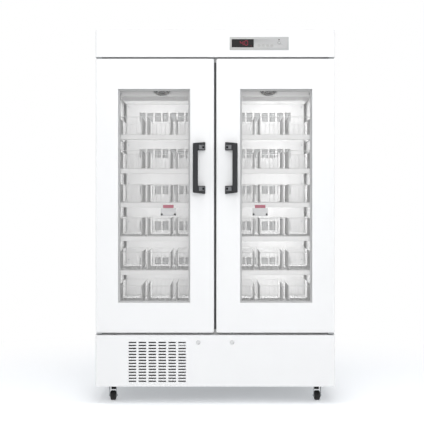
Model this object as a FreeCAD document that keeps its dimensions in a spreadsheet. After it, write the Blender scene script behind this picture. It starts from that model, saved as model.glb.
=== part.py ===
import FreeCAD, Part
import math
import os
import re

import Sketcher
from FreeCAD import Placement, Rotation, Vector

# Blood bank refrigerator: a white upright cabinet on casters, with two tall glazed doors, six sliding
# shelves of baskets behind each, a cooling unit under the lower panel and an air cooler under the ceiling.
# Millimetres. +Z is up, the doors face -Y, the cabinet's middle is at X = 0 and the floor at Z = 0.

doc = FreeCAD.newDocument("BloodBankRefrigerator")

# Driving dimensions: every size that can be set by itself
SIZES = {
    # whole cabinet
    "cab_width": 1220,
    "cab_height": 1900,
    "body_depth": 722,
    "handle_reach": 48,
    "sheet_thick": 1.2,
    "skirt_height": 88,
    "sill_height": 349,
    "lower_gap": 11,
    "upper_gap": 8,
    "header_height": 137,
    "fascia_round": 12,
    "flange_width": 40,
    "rear_flange": 28,
    # insulated box
    "side_wall": 94,
    "floor_wall": 91,
    "ceiling_wall": 90,
    "rear_wall": 72.6,
    "box_lap": 27,
    "liner_thick": 1,
    "mullion_width": 90,
    "mullion_depth": 30,
    # base frame and casters
    "frame_front_inset": 12,
    "frame_rail_width": 40,
    "frame_plate": 2,
    "frame_rail_height": 22,
    "pad_width": 90,
    "pad_depth": 80,
    "pad_thick": 4,
    "caster_height": 92,
    "caster_side": 83,
    "caster_inset": 84,
    "wheel_radius": 25,
    "wheel_width": 30,
    "wheel_round": 8,
    "caster_trail": 18,
    "axle_radius": 4,
    "kingpin_radius": 6,
    "leg_thick": 3,
    "leg_play": 1.5,
    "crown_thick": 5,
    "crown_radius": 21,
    "leg_inset": 3,
    "axle_boss": 4,
    "nut_radius": 10,
    "nut_thick": 6,
    "shaft_play": 0.05,
    "face_play": 0.3,
    # doors
    "door_gap": 11,
    "door_inset": 2,
    "door_thick": 50,
    "door_corner": 10,
    "door_edge_round": 8,
    "rail_inner": 121.5,
    "rail_outer": 115,
    "rail_low": 154,
    "rail_top": 155,
    "glass_lip": 12,
    "glass_lap": 12,
    "rebate_play": 1,
    "pane_thick": 4,
    "spacer_thick": 16,
    "spacer_show": 9,
    "spacer_hidden": 9,
    "gasket_gap": 10,
    "gasket_width": 17,
    "gasket_inset": 13,
    "gasket_hinge_gap": 2,
    "hinge_in": 18,
    "hinge_back": 22,
    "hinge_pin_radius": 5,
    "hinge_pin_short": 2,
    "bush_radius": 9,
    "bush_length": 20,
    "hinge_plate": 6,
    "hinge_play": 1,
    "hinge_plate_width": 30,
    "hinge_leg": 4,
    "hinge_leg_height": 48,
    # door handles
    "handle_rise": 838,
    "handle_height": 264,
    "grip_height": 249,
    "handle_foot_in": 44.5,
    "foot_width": 37,
    "grip_width": 26,
    "grip_depth": 20,
    "arm_height": 42,
    "grip_chamfer": 6,
    "arm_lean": 3,
    "foot_thick": 9,
    # locks
    "lock_x": 86,
    "lock_drop": 36,
    "lock_radius": 9.5,
    "lock_head_radius": 11,
    "lock_head_thick": 2,
    "lock_barrel_length": 26,
    "cam_length": 43,
    "cam_width": 8,
    "cam_thick": 3,
    "cam_play": 2,
    "keeper_width": 10,
    "keeper_thick": 3,
    "keeper_drop": 9,
    "key_slot_length": 8,
    "key_slot_width": 1.6,
    "key_slot_depth": 1.2,
    # grille of the lower panel
    "grille_side": 170.5,
    "grille_rise": 23.7,
    "slot_width": 38.5,
    "slot_height": 7,
    "slot_pitch_x": 50.4,
    "slot_pitch_z": 15.15,
    "slot_columns": 6,
    "slot_rows": 14,
    # back panel
    "exhaust_side": 280,
    "exhaust_rise": 42,
    "exhaust_width": 70,
    "exhaust_height": 8,
    "exhaust_pitch_x": 100,
    "exhaust_pitch_z": 20,
    "exhaust_columns": 5,
    "exhaust_rows": 10,
    "gland_side": 140,
    "gland_rise": 62,
    "gland_radius": 12,
    "gland_flange_radius": 16,
    "gland_bore_radius": 4.5,
    "gland_flange": 3,
    "gland_length": 22,
    # control panel
    "panel_x": 73,
    "panel_rise": 34,
    "panel_width": 301,
    "panel_height": 68,
    "panel_proud": 6,
    "panel_bevel": 10,
    "window_side": 12,
    "window_rise": 15,
    "window_width": 109,
    "window_height": 39,
    "window_sunk": 1.5,
    "panel_back_margin": 8,
    "button_side": 251,
    "button_rise": 36,
    "button_radius": 4,
    "button_proud": 2,
    "button_rim": 1.5,
    "button_foot": 1.4,
    # air cooler under the ceiling
    "cover_height": 127,
    "cover_side_gap": 16,
    "cover_front": 47,
    "cover_sheet": 1.5,
    "fan_side": 225,
    "fan_z_up": 59,
    "fan_opening": 56,
    "fan_radius": 52,
    "fan_hub_radius": 18,
    "fan_hub_length": 20,
    "fan_set_back": 6,
    "fan_blades": 5,
    "blade_thick": 2,
    "blade_chord": 30,
    "blade_tilt": 30,
    "motor_radius": 20,
    "motor_length": 24,
    "motor_shaft_radius": 3,
    "motor_gap": 2,
    "strut_width": 16,
    "strut_thick": 3,
    "cooler_side_gap": 70,
    "cooler_base": 4,
    "cooler_height": 96,
    "cooler_front": 160,
    "cooler_depth": 190,
    "cooler_fin": 3,
    "cooler_fins": 31,
    # back duct
    "duct_depth": 67,
    "duct_low": 30,
    "duct_sheet": 1.5,
    "vent_columns": 20,
    "vent_rows": 5,
    "vent_width": 31,
    "vent_height": 48,
    "vent_side": 75,
    "vent_low": 222,
    "vent_high": 47,
    # shelves, runners and baskets
    "tier_count": 6,
    "first_tier": 59,
    "top_room": 106.5,
    "tray_clear": 31,
    "tray_front": 20,
    "tray_back_play": 11,
    "tray_plate": 2,
    "lip_height": 25,
    "lip_depth": 12,
    "tray_side": 14,
    "runner_width": 6,
    "runner_height": 8,
    "runner_play": 0.4,
    "runner_side_play": 0.5,
    "track_thick": 1.5,
    "track_overlap": 5.4,
    "track_gap": 2,
    "upright_width": 12,
    "upright_depth": 30,
    "upright_end": 8,
    "baskets_across": 3,
    "basket_margin": 5.25,
    "basket_gap": 24,
    "basket_height": 94,
    "basket_front": 5,
    "basket_back": 16,
    "basket_wall": 2,
    # cooling unit in the base
    "condenser_side": 315,
    "condenser_width": 290,
    "condenser_height": 226,
    "condenser_depth": 44,
    "condenser_front": 40,
    "condenser_fin": 10,
    "condenser_fins": 18,
    "groove_depth": 15,
    "groove_end": 12,
    "cooling_fan_radius": 95,
    "cooling_fan_hub": 30,
    "cooling_fan_back": 40,
    "cooling_fan_length": 30,
    "cooling_motor_radius": 36,
    "cooling_motor_length": 60,
    "cooling_motor_gap": 4,
    "motor_stand_inset": 10,
    "compressor_x": 160,
    "compressor_back": 325,
    "compressor_radius": 88,
    "compressor_height": 205,
    "compressor_foot": 14,
    "compressor_flange": 14,
    "flange_thick": 5,
    "compressor_waist": 12,
    "compressor_flare": 25,
    "compressor_seam": 118,
    "seam_bead": 4,
    "dome_rise": 62,
}

# Planes and places worked out from the driving dimensions
LINES = {
    "half_width": "cab_width / 2",
    "door_height": "cab_height - header_height - upper_gap - lower_gap - sill_height",
    "back_y": "(body_depth + handle_reach) / 2",
    "front_y": "back_y - body_depth",
    "case_y": "front_y + door_thick + gasket_gap",
    "rear_sheet_y": "back_y - sheet_thick",
    "door_low": "sill_height + lower_gap",
    "door_top": "door_low + door_height",
    "header_low": "door_top + upper_gap",
    "box_top": "header_low + box_lap",
    "door_in": "door_gap / 2",
    "door_out": "half_width - door_inset",
    "hinge_x": "door_out - hinge_in",
    "hinge_y": "front_y + hinge_back",
    "glass_in": "door_in + rail_inner",
    "glass_out": "door_out - rail_outer",
    "glass_low": "door_low + rail_low",
    "glass_top": "door_top - rail_top",
    "pane_y": "front_y + glass_lip",
    "spacer_y": "pane_y + pane_thick",
    "inner_pane_y": "spacer_y + spacer_thick",
    "retainer_y": "inner_pane_y + pane_thick",
    "door_back": "front_y + door_thick",
    "room_half": "half_width - side_wall",
    "floor_z": "sill_height + floor_wall",
    "ceiling_z": "box_top - ceiling_wall",
    "liner_back": "rear_sheet_y - sheet_thick - rear_wall",
    "cover_low": "ceiling_z - cover_height",
    "cover_half_width": "room_half - cover_side_gap",
    "cooler_half_width": "cover_half_width - cooler_side_gap",
    "cover_y": "case_y + cover_front",
    "fan_z": "cover_low + fan_z_up",
    "duct_y": "liner_back - duct_depth",
    "tier_low": "floor_z + first_tier",
    "tier_pitch": "(cover_low - top_room - basket_height - tier_low) / (tier_count - 1)",
    "tray_in": "mullion_width / 2 + tray_clear",
    "tray_out": "room_half - track_thick - runner_side_play - runner_width",
    "upright_out": "tray_in - runner_width - runner_side_play - track_thick",
    "basket_width": "(tray_out - tray_in - 2 * basket_margin - (baskets_across - 1) * basket_gap)"
                    " / baskets_across",
    "tray_y": "case_y + tray_front",
    "tray_back": "duct_y - tray_back_play",
    "track_y": "tray_y + lip_depth + track_gap",
    "frame_low": "caster_height",
    "deck_z": "frame_low + frame_rail_height + frame_plate",
    "front_caster_y": "front_y + caster_inset",
    "rear_caster_y": "back_y - caster_inset",
    "lock_y": "front_y - face_play - lock_head_thick",
    "cam_y": "front_y + lock_barrel_length",
    "condenser_y": "front_y + condenser_front",
    "cooling_fan_y": "condenser_y + condenser_depth + cooling_fan_back",
    "condenser_z": "deck_z + condenser_height / 2",
    "condenser_x": "condenser_side - half_width",
    "compressor_y": "back_y - compressor_back",
    "caster_x": "half_width - caster_side",
    "handle_z": "door_low + handle_rise",
    "lock_z": "sill_height - lock_drop",
    "grille_x": "grille_side - half_width",
    "grille_z": "skirt_height + grille_rise",
    "exhaust_x": "exhaust_side - half_width",
    "exhaust_z": "skirt_height + exhaust_rise",
    "gland_x": "half_width - gland_side",
    "gland_z": "skirt_height + gland_rise",
    "panel_z": "header_low + panel_rise",
    "window_x": "panel_x + window_side",
    "window_z": "panel_z + window_rise",
    "button_x": "panel_x + button_side",
    "button_z": "panel_z + button_rise",
    "fan_x": "cover_half_width - fan_side",
    "vent_pitch_x": "(2 * (cover_half_width - vent_side) - vent_width) / (vent_columns - 1)",
    "vent_pitch_z": "(cover_low - vent_high - vent_height - floor_z - vent_low) / (vent_rows - 1)",
}

sheet = doc.addObject("Spreadsheet::Sheet", "Sizes")
for row, (alias, number) in enumerate(SIZES.items(), start=1):
    sheet.set(f"A{row}", alias)
    sheet.set(f"B{row}", str(number))
    sheet.setAlias(f"B{row}", alias)
doc.recompute()


def full_names(text):
    """An expression with each size and line named as the document's expressions want it."""

    def full_name(match):
        word = match.group()
        if word in SIZES:
            return "Sizes." + word
        if word in LINES:
            return "Lines." + word
        return word

    return re.sub(r"[a-z][a-z0-9_]*", full_name, str(text))


lines = doc.addObject("App::VarSet", "Lines")
for name, text in LINES.items():
    lines.addProperty("App::PropertyFloat", name)
    lines.setExpression(name, full_names(text))
doc.recompute()


def number(name):
    """The present value of a size or a line."""
    return float(getattr(lines, name)) if name in LINES else float(sheet.get(name))


NODES = {}


def keep(part, name):
    """Names a finished sub-part; the name is also its file's."""
    part.Label = name
    NODES[name] = part
    return part


def bind(part, **texts):
    """Binds properties to expressions; x, y and z stand for the placement's base."""
    for key, text in texts.items():
        target = f"Placement.Base.{key}" if key in "xyz" else key
        part.setExpression(target, full_names(text))


def block(x, y, z):
    """A block; x, y and z are its (low, high) planes."""
    part = doc.addObject("Part::Box", "Block")
    bind(part, x=x[0], y=y[0], z=z[0])
    bind(part, Length=f"({x[1]}) - ({x[0]})")
    bind(part, Width=f"({y[1]}) - ({y[0]})")
    bind(part, Height=f"({z[1]}) - ({z[0]})")
    return part


TURNS = {"x": Rotation(Vector(0, 1, 0), 90), "y": Rotation(Vector(1, 0, 0), -90), "z": Rotation()}


def rod(radius, axis, x, y, z):
    """A cylinder along an axis; that axis's place is a (low, high) pair, the others are its centre."""
    place = {"x": x, "y": y, "z": z}
    low, high = place[axis]
    part = doc.addObject("Part::Cylinder", "Rod")
    part.Placement = Placement(Vector(), TURNS[axis])
    place[axis] = low
    bind(part, Radius=radius, Height=f"({high}) - ({low})", **place)
    return part


def fuse(*parts):
    """One solid made of several that touch or overlap."""
    whole = doc.addObject("Part::MultiFuse", "Fusion")
    whole.Shapes = list(parts)
    return whole


def cut(base, *tools):
    """A solid with one or more others taken out of it."""
    part = doc.addObject("Part::Cut", "Cut")
    part.Base = base
    part.Tool = tools[0] if len(tools) == 1 else fuse(*tools)
    return part


def group(*parts):
    """Separate solids kept together as one sub-part."""
    whole = doc.addObject("Part::Compound", "Group")
    whole.Links = list(parts)
    return whole


SIDES = {"left": -1, "right": 1}


def span(sign, inner, outer):
    """The (low, high) planes of something between two distances from the middle, on one side."""
    return (inner, outer) if sign > 0 else (f"-({outer})", f"-({inner})")


def at(sign, distance):
    """A place at a distance from the middle, on one side."""
    return distance if sign > 0 else f"-({distance})"


# PartDesign helpers: a sketch's own x runs along the first axis of its plane and y along the second


def new_body(name):
    body = doc.addObject("PartDesign::Body", name)
    return keep(body, name)


def new_sketch(body, role, offset):
    """A sketch on one of the body's own planes, moved by bound offsets along its own axes."""
    sketch = body.newObject("Sketcher::SketchObject", "Sketch")
    plane = next(item for item in body.Origin.OriginFeatures if item.Role == role)
    sketch.AttachmentSupport = [(plane, "")]
    sketch.MapMode = "FlatFace"
    for axis, text in zip("xyz", offset):
        sketch.setExpression(f"AttachmentOffset.Base.{axis}", full_names(text))
    return sketch


def hold(sketch, kind, first, second, text):
    """A distance constraint bound to an expression."""
    index = sketch.addConstraint(Sketcher.Constraint(kind, *first, *second, 5.0))
    sketch.setExpression(f"Constraints[{index}]", full_names(text))


ORIGIN = (-1, 1)


def outline(sketch, points):
    """A closed outline of straight edges through points whose coordinates are expressions."""
    first = sketch.GeometryCount
    rough = [Vector(20 * math.cos(a), 20 * math.sin(a), 0)
             for a in (2 * math.pi * i / len(points) for i in range(len(points)))]
    for i in range(len(points)):
        sketch.addGeometry(Part.LineSegment(rough[i], rough[(i + 1) % len(points)]), False)
    for i in range(len(points)):
        after = first + (i + 1) % len(points)
        sketch.addConstraint(Sketcher.Constraint("Coincident", first + i, 2, after, 1))
    for i, (across, up) in enumerate(points):
        hold(sketch, "DistanceX", ORIGIN, (first + i, 1), across)
        hold(sketch, "DistanceY", ORIGIN, (first + i, 1), up)


def circle(sketch, across, up, radius):
    """A circle whose centre and radius are expressions."""
    index = sketch.addGeometry(Part.Circle(Vector(), Vector(0, 0, 1), 9), False)
    hold(sketch, "DistanceX", ORIGIN, (index, 3), across)
    hold(sketch, "DistanceY", ORIGIN, (index, 3), up)
    size = sketch.addConstraint(Sketcher.Constraint("Radius", index, 9.0))
    sketch.setExpression(f"Constraints[{size}]", full_names(radius))


def rectangle(sketch, left, low, width, height):
    """A rectangle whose sizes and place are expressions."""
    right, top = f"({left}) + ({width})", f"({low}) + ({height})"
    outline(sketch, [(left, low), (right, low), (right, top), (left, top)])


def pad(body, sketch, length, backwards=False):
    feature = body.newObject("PartDesign::Pad", "Pad")
    feature.Profile = sketch
    feature.Reversed = backwards
    bind(feature, Length=length)
    doc.recompute()
    return feature


def pocket(body, sketch, length):
    """A pocket away from the sketch's normal; the volume must drop."""
    before = body.Shape.Volume
    feature = body.newObject("PartDesign::Pocket", "Pocket")
    feature.Profile = sketch
    bind(feature, Length=length)
    doc.recompute()
    if not feature.Shape.Volume < before:
        raise RuntimeError(f"{body.Label}: a pocket cuts nothing")
    return feature


def repeat(body, feature, sketch, across, up):
    """A feature repeated along its sketch's two axes; each is a (pitch, count) pair."""
    pattern = body.newObject("PartDesign::MultiTransform", "Pattern")
    steps = []
    for axis, (pitch, count) in (("H_Axis", across), ("V_Axis", up)):
        step = body.newObject("PartDesign::LinearPattern", "Step")
        step.Direction = (sketch, [axis])
        step.Mode = "Spacing"
        bind(step, Offset=pitch, Occurrences=count)
        steps.append(step)
    pattern.Originals = [feature]
    pattern.Transformations = steps
    body.Tip = pattern
    doc.recompute()
    return pattern


def edges_where(shape, test):
    """Names of a shape's straight edges whose two ends pass a test."""
    names = []
    for i, edge in enumerate(shape.Edges, start=1):
        ends = [vertex.Point for vertex in edge.Vertexes]
        if len(ends) == 2 and test(*ends):
            names.append(f"Edge{i}")
    return names


def rounded(body, feature, radius, test):
    """A fillet on a body's straight edges that pass a test."""
    fillet = body.newObject("PartDesign::Fillet", "Fillet")
    fillet.Base = (feature, edges_where(feature.Shape, test))
    bind(fillet, Radius=radius)
    doc.recompute()
    return fillet


def same(a, b):
    return abs(a - b) < 1e-4


# How far a cutting block or rod runs past the face it leaves by
PAST = 1


# Cabinet: folded side panels, flat top and back, foam box, liner and mullion
def side_panel(side, sign):
    """A plate with a flange turned in at the front and another at the back, for screws."""
    tall = ("skirt_height", "cab_height - sheet_thick")
    plate = block(span(sign, "half_width - sheet_thick", "half_width"), ("case_y", "back_y"), tall)
    front = block(span(sign, "half_width - flange_width", "half_width"),
                  ("case_y", "case_y + sheet_thick"), ("deck_z", tall[1]))
    back = block(span(sign, "half_width - rear_flange", "half_width"),
                 ("rear_sheet_y - sheet_thick", "rear_sheet_y"), tall)
    keep(fuse(plate, front, back), f"{side}_side_panel")


for side, sign in SIDES.items():
    side_panel(side, sign)

keep(block(("-half_width", "half_width"), ("case_y", "back_y"), ("cab_height - sheet_thick", "cab_height")),
     "top_panel")

foam_outer = block(("-half_width + sheet_thick", "half_width - sheet_thick"),
                   ("case_y + sheet_thick", "rear_sheet_y - sheet_thick"), ("sill_height", "box_top"))
lined = (("-room_half - liner_thick", "room_half + liner_thick"), ("case_y", "liner_back + liner_thick"),
         ("floor_z - liner_thick", "ceiling_z + liner_thick"))
keep(cut(foam_outer, block(*lined)), "insulation_foam")

liner_shell = block(*lined)
liner_flange = block(("-half_width + flange_width", "half_width - flange_width"),
                     ("case_y", "case_y + sheet_thick"), ("sill_height", "box_top"))
liner_room = block(("-room_half", "room_half"), ("case_y", "liner_back"), ("floor_z", "ceiling_z"))
keep(cut(fuse(liner_shell, liner_flange), liner_room), "inner_liner")

keep(block(("-mullion_width / 2", "mullion_width / 2"), ("case_y", "case_y + mullion_depth"),
           ("floor_z", "ceiling_z")), "centre_mullion")


# Fascias: trays of folded sheet, open at the back, that stand flush with the doors
def fascia(name, low, high):
    """The tray: a padded block with rounded front corners, hollowed from behind."""
    body = new_body(name)
    face = new_sketch(body, "XZ_Plane", ("-half_width", low, "-(front_y)"))
    rectangle(face, "0", "0", "cab_width", f"({high}) - ({low})")
    pad(body, face, "case_y - front_y", backwards=True)
    hollow = new_sketch(body, "XZ_Plane", ("-half_width", low, "-(front_y + sheet_thick)"))
    rectangle(hollow, "sheet_thick", "sheet_thick", "cab_width - 2 * sheet_thick",
              f"({high}) - ({low}) - 2 * sheet_thick")
    tray = pocket(body, hollow, "case_y - front_y - sheet_thick")
    # the bend's inside is rounded first, so that the sheet keeps its thickness round the corner
    for plane, radius in (("front_y + sheet_thick", "fascia_round - sheet_thick"), ("front_y", "fascia_round")):
        bend_y = number("front_y") + (number("sheet_thick") if "+" in plane else 0)
        tray = rounded(body, tray, radius,
                       lambda a, b: same(a.x, b.x) and same(a.y, b.y) and same(a.y, bend_y))
    return body


def flange_notch(body, top, x, y, depth):
    """A notch through the flange whose upper face is at top; y is its near edge."""
    notch = new_sketch(body, "XY_Plane", ("0", "0", top))
    rectangle(notch, x[0], y, f"({x[1]}) - ({x[0]})", depth)
    pocket(body, notch, "sheet_thick")


def bracket_notches(body, top):
    """Room for the hinge brackets' legs, which pass through the flange beside the doors."""
    for sign in SIDES.values():
        x = span(sign, "hinge_x - hinge_plate_width / 2 - face_play",
                 "hinge_x + hinge_plate_width / 2 + face_play")
        flange_notch(body, top, x, "case_y - hinge_leg - face_play", "hinge_leg + face_play + 1")


header = fascia("header_panel", "header_low", "cab_height")
behind_panel = new_sketch(header, "XZ_Plane", ("0", "0", "-(front_y)"))
rectangle(behind_panel, "panel_x + panel_back_margin", "panel_z + panel_back_margin",
          "panel_width - 2 * panel_back_margin", "panel_height - 2 * panel_back_margin")
pocket(header, behind_panel, "sheet_thick")
bracket_notches(header, "header_low + sheet_thick")

lower = fascia("lower_front_panel", "skirt_height", "sill_height")
slot = new_sketch(lower, "XZ_Plane", ("grille_x", "grille_z", "-(front_y)"))
rectangle(slot, "0", "0", "slot_width", "slot_height")
slot_cut = pocket(lower, slot, "sheet_thick")
repeat(lower, slot_cut, slot, ("slot_pitch_x", "slot_columns"), ("slot_pitch_z", "slot_rows"))
bracket_notches(lower, "sill_height")
for sign in SIDES.values():
    swept = span(sign, "lock_x - cam_width", "lock_x + cam_length")
    flange_notch(lower, "sill_height", swept, "cam_y - cam_play", "cam_thick + 2 * cam_play")
    bore = new_sketch(lower, "XZ_Plane", ("0", "0", "-(front_y)"))
    circle(bore, at(sign, "lock_x"), "lock_z", "lock_radius + shaft_play")
    pocket(lower, bore, "sheet_thick")

# Back panel with exhaust slots for the cooling unit and the hole for the mains gland
back = new_body("back_panel")
back_face = new_sketch(back, "XZ_Plane", ("-half_width + sheet_thick", "skirt_height", "-(rear_sheet_y)"))
rectangle(back_face, "0", "0", "cab_width - 2 * sheet_thick", "cab_height - sheet_thick - skirt_height")
pad(back, back_face, "sheet_thick", backwards=True)
gland_hole = new_sketch(back, "XZ_Plane", ("gland_x", "gland_z", "-(rear_sheet_y)"))
circle(gland_hole, "0", "0", "gland_radius")
pocket(back, gland_hole, "sheet_thick")
exhaust = new_sketch(back, "XZ_Plane", ("exhaust_x", "exhaust_z", "-(rear_sheet_y)"))
rectangle(exhaust, "0", "0", "exhaust_width", "exhaust_height")
exhaust_cut = pocket(back, exhaust, "sheet_thick")
repeat(back, exhaust_cut, exhaust, ("exhaust_pitch_x", "exhaust_columns"),
       ("exhaust_pitch_z", "exhaust_rows"))

# The gland: a flanged sleeve through the back panel, its flange inside, which a mains cord would pass
gland_sleeve = rod("gland_radius", "y", "gland_x", ("back_y - gland_length", "back_y"), "gland_z")
gland_flange = rod("gland_flange_radius", "y", "gland_x",
                   ("rear_sheet_y - gland_flange", "rear_sheet_y"), "gland_z")
gland_bore = rod("gland_bore_radius", "y", "gland_x", ("back_y - gland_length", "back_y"), "gland_z")
keep(cut(fuse(gland_sleeve, gland_flange), gland_bore), "mains_gland")

# Base frame: rails under a deck plate, with a pad at each corner for a caster's kingpin
frame_x = ("-half_width + sheet_thick", "half_width - sheet_thick")
frame_y = ("front_y + frame_front_inset", "rear_sheet_y - sheet_thick")
rails = cut(
    block(frame_x, frame_y, ("frame_low", "deck_z - frame_plate")),
    block((f"{frame_x[0]} + frame_rail_width", f"{frame_x[1]} - frame_rail_width"),
          (f"{frame_y[0]} + frame_rail_width", f"{frame_y[1]} - frame_rail_width"),
          ("frame_low", "deck_z - frame_plate")))
deck = block(frame_x, frame_y, ("deck_z - frame_plate", "deck_z"))
pads = []
pad_holes = []
for side, sign in SIDES.items():
    for caster_y in ("front_caster_y", "rear_caster_y"):
        pads.append(block(span(sign, "caster_x - pad_width / 2", "half_width - sheet_thick"),
                          (f"{caster_y} - pad_depth / 2", f"{caster_y} + pad_depth / 2"),
                          ("frame_low", "frame_low + pad_thick")))
        pad_holes.append(rod("kingpin_radius + shaft_play", "z", at(sign, "caster_x"), caster_y,
                             (f"frame_low - {PAST}", f"frame_low + pad_thick + {PAST}")))
keep(cut(fuse(rails, deck, *pads), *pad_holes), "base_frame")


# Casters: a crown on a kingpin, two legs and an axle turn together; the wheel turns on the axle
def caster(name, sign, caster_y):
    x = at(sign, "caster_x")
    axle_y = f"{caster_y} + caster_trail"
    crown_low = "caster_height - face_play - crown_thick"
    crown = rod("crown_radius", "z", x, caster_y, (crown_low, "caster_height - face_play"))
    kingpin = rod("kingpin_radius", "z", x, caster_y,
                  ("caster_height - face_play", "frame_low + pad_thick + face_play"))
    nut_low = "frame_low + pad_thick + face_play"
    nut = rod("nut_radius", "z", x, caster_y, (nut_low, f"{nut_low} + nut_thick"))
    legs = []
    for near in (-1, 1):
        leg_sketch = doc.addObject("Sketcher::SketchObject", "LegProfile")
        leg_sketch.Placement = Placement(Vector(), Rotation(Vector(1, 1, 1), 120))
        low, high = span(near, "wheel_width / 2 + leg_play", "wheel_width / 2 + leg_play + leg_thick")
        bind(leg_sketch, x=f"{x} + ({low})", y=caster_y, z="0")
        outline(leg_sketch, [
            ("-crown_radius + leg_inset", crown_low),
            ("caster_trail - axle_radius - axle_boss", "wheel_radius - axle_radius - axle_boss"),
            ("caster_trail + axle_radius + axle_boss", "wheel_radius - axle_radius - axle_boss"),
            ("caster_trail + axle_radius + axle_boss", "wheel_radius + axle_radius + axle_boss"),
            ("crown_radius - leg_inset", crown_low),
        ])
        leg = doc.addObject("Part::Extrusion", "Leg")
        leg.Base = leg_sketch
        leg.DirMode = "Custom"
        leg.Dir = Vector(1, 0, 0)
        leg.Solid = True
        bind(leg, LengthFwd="leg_thick")
        legs.append(leg)
    axle_reach = "wheel_width / 2 + leg_play + leg_thick"
    axle_x = (f"{x} - ({axle_reach})", f"{x} + {axle_reach}")
    axle = rod("axle_radius", "x", axle_x, axle_y, "wheel_radius")
    fork = cut(fuse(crown, kingpin, nut, *legs), rod("axle_radius", "x", axle_x, axle_y, "wheel_radius"))
    keep(group(fork, axle), f"{name}_caster_fork")

    wheel = new_body(f"{name}_caster_wheel")
    half = new_sketch(wheel, "XY_Plane", (x, axle_y, "wheel_radius"))
    bevel = "wheel_round * (1 - cos(45))"
    outline(half, [
        ("-wheel_width / 2", "axle_radius + shaft_play"),
        ("wheel_width / 2", "axle_radius + shaft_play"),
        ("wheel_width / 2", "wheel_radius - wheel_round"),
        (f"wheel_width / 2 - {bevel}", f"wheel_radius - {bevel}"),
        ("wheel_width / 2 - wheel_round", "wheel_radius"),
        ("-wheel_width / 2 + wheel_round", "wheel_radius"),
        (f"-wheel_width / 2 + {bevel}", f"wheel_radius - {bevel}"),
        ("-wheel_width / 2", "wheel_radius - wheel_round"),
    ])
    turned = wheel.newObject("PartDesign::Revolution", "Revolution")
    turned.Profile = half
    turned.ReferenceAxis = (half, ["H_Axis"])
    turned.Angle = 360
    doc.recompute()


for side, sign in SIDES.items():
    caster(f"front_{side}", sign, "front_caster_y")
    caster(f"rear_{side}", sign, "rear_caster_y")

# Control panel: a bevelled plate on the header, with a sunk display window and a push button
plate = doc.addObject("Part::Wedge", "Plate")
bind(plate, Xmin="panel_x + panel_bevel", Xmax="panel_x + panel_width - panel_bevel",
     Zmin="panel_z + panel_bevel", Zmax="panel_z + panel_height - panel_bevel",
     X2min="panel_x", X2max="panel_x + panel_width", Z2min="panel_z", Z2max="panel_z + panel_height",
     Ymin="front_y - panel_proud", Ymax="front_y")
window_x = ("window_x", "window_x + window_width")
window_z = ("window_z", "window_z + window_height")
through_plate = (f"front_y - panel_proud - {PAST}", f"front_y + {PAST}")
window_hole = block(window_x, through_plate, window_z)
button_hole = rod("button_radius + face_play", "y", "button_x", through_plate, "button_z")
button_room = rod("button_radius + button_rim + face_play", "y", "button_x",
                  ("front_y - panel_proud / 2", through_plate[1]), "button_z")
keep(cut(plate, window_hole, button_hole, button_room), "control_panel")
keep(block(window_x, ("front_y - panel_proud + window_sunk", "front_y"), window_z), "display_window")

rim_y = "front_y - panel_proud / 2 + face_play"
button_cap_y = ("front_y - panel_proud - button_proud", rim_y)
button_foot_y = (rim_y, f"{rim_y} + button_foot")
keep(fuse(rod("button_radius", "y", "button_x", button_cap_y, "button_z"),
          rod("button_radius + button_rim", "y", "button_x", button_foot_y, "button_z")), "alarm_mute_button")


# Fan rotor: a hub with tilted flat blades round an axis along Y
def rotor(name, x, y, z, radius, hub, length, shaft):
    """Hub and blades; the blades are cut to the rotor's radius and the hub bored for its shaft."""
    centre = (x, f"{y} + ({length}) / 2", z)
    pieces = [rod(hub, "y", x, (y, f"{y} + {length}"), z)]
    blades = int(number("fan_blades"))
    for i in range(blades):
        blade = doc.addObject("Part::Box", "Blade")
        turn = Rotation(Vector(0, 1, 0), 360 * i / blades)
        tilt = Rotation(Vector(0, 0, 1), number("blade_tilt"))
        turned = turn.multiply(tilt)
        corner = turned.multVec(Vector(-number("blade_chord") / 2, -number("blade_thick") / 2, 0))
        blade.Placement = Placement(corner, turned)
        bind(blade, Length="blade_chord", Width="blade_thick", Height=radius)
        bind(blade, x=f"{centre[0]} + {corner.x:.6f}", y=f"{centre[1]} + {corner.y:.6f}",
             z=f"{centre[2]} + {corner.z:.6f}")
        pieces.append(blade)
    disc = rod(radius, "y", x, (f"{y} - blade_chord", f"{y} + {length} + blade_chord"), z)
    trimmed = doc.addObject("Part::MultiCommon", "Trimmed")
    trimmed.Shapes = [fuse(*pieces), disc]
    bore = rod(f"{shaft} + shaft_play", "y", x, (f"{y} - {PAST}", f"{y} + {length} + {PAST}"), z)
    keep(cut(trimmed, bore), name)


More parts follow.
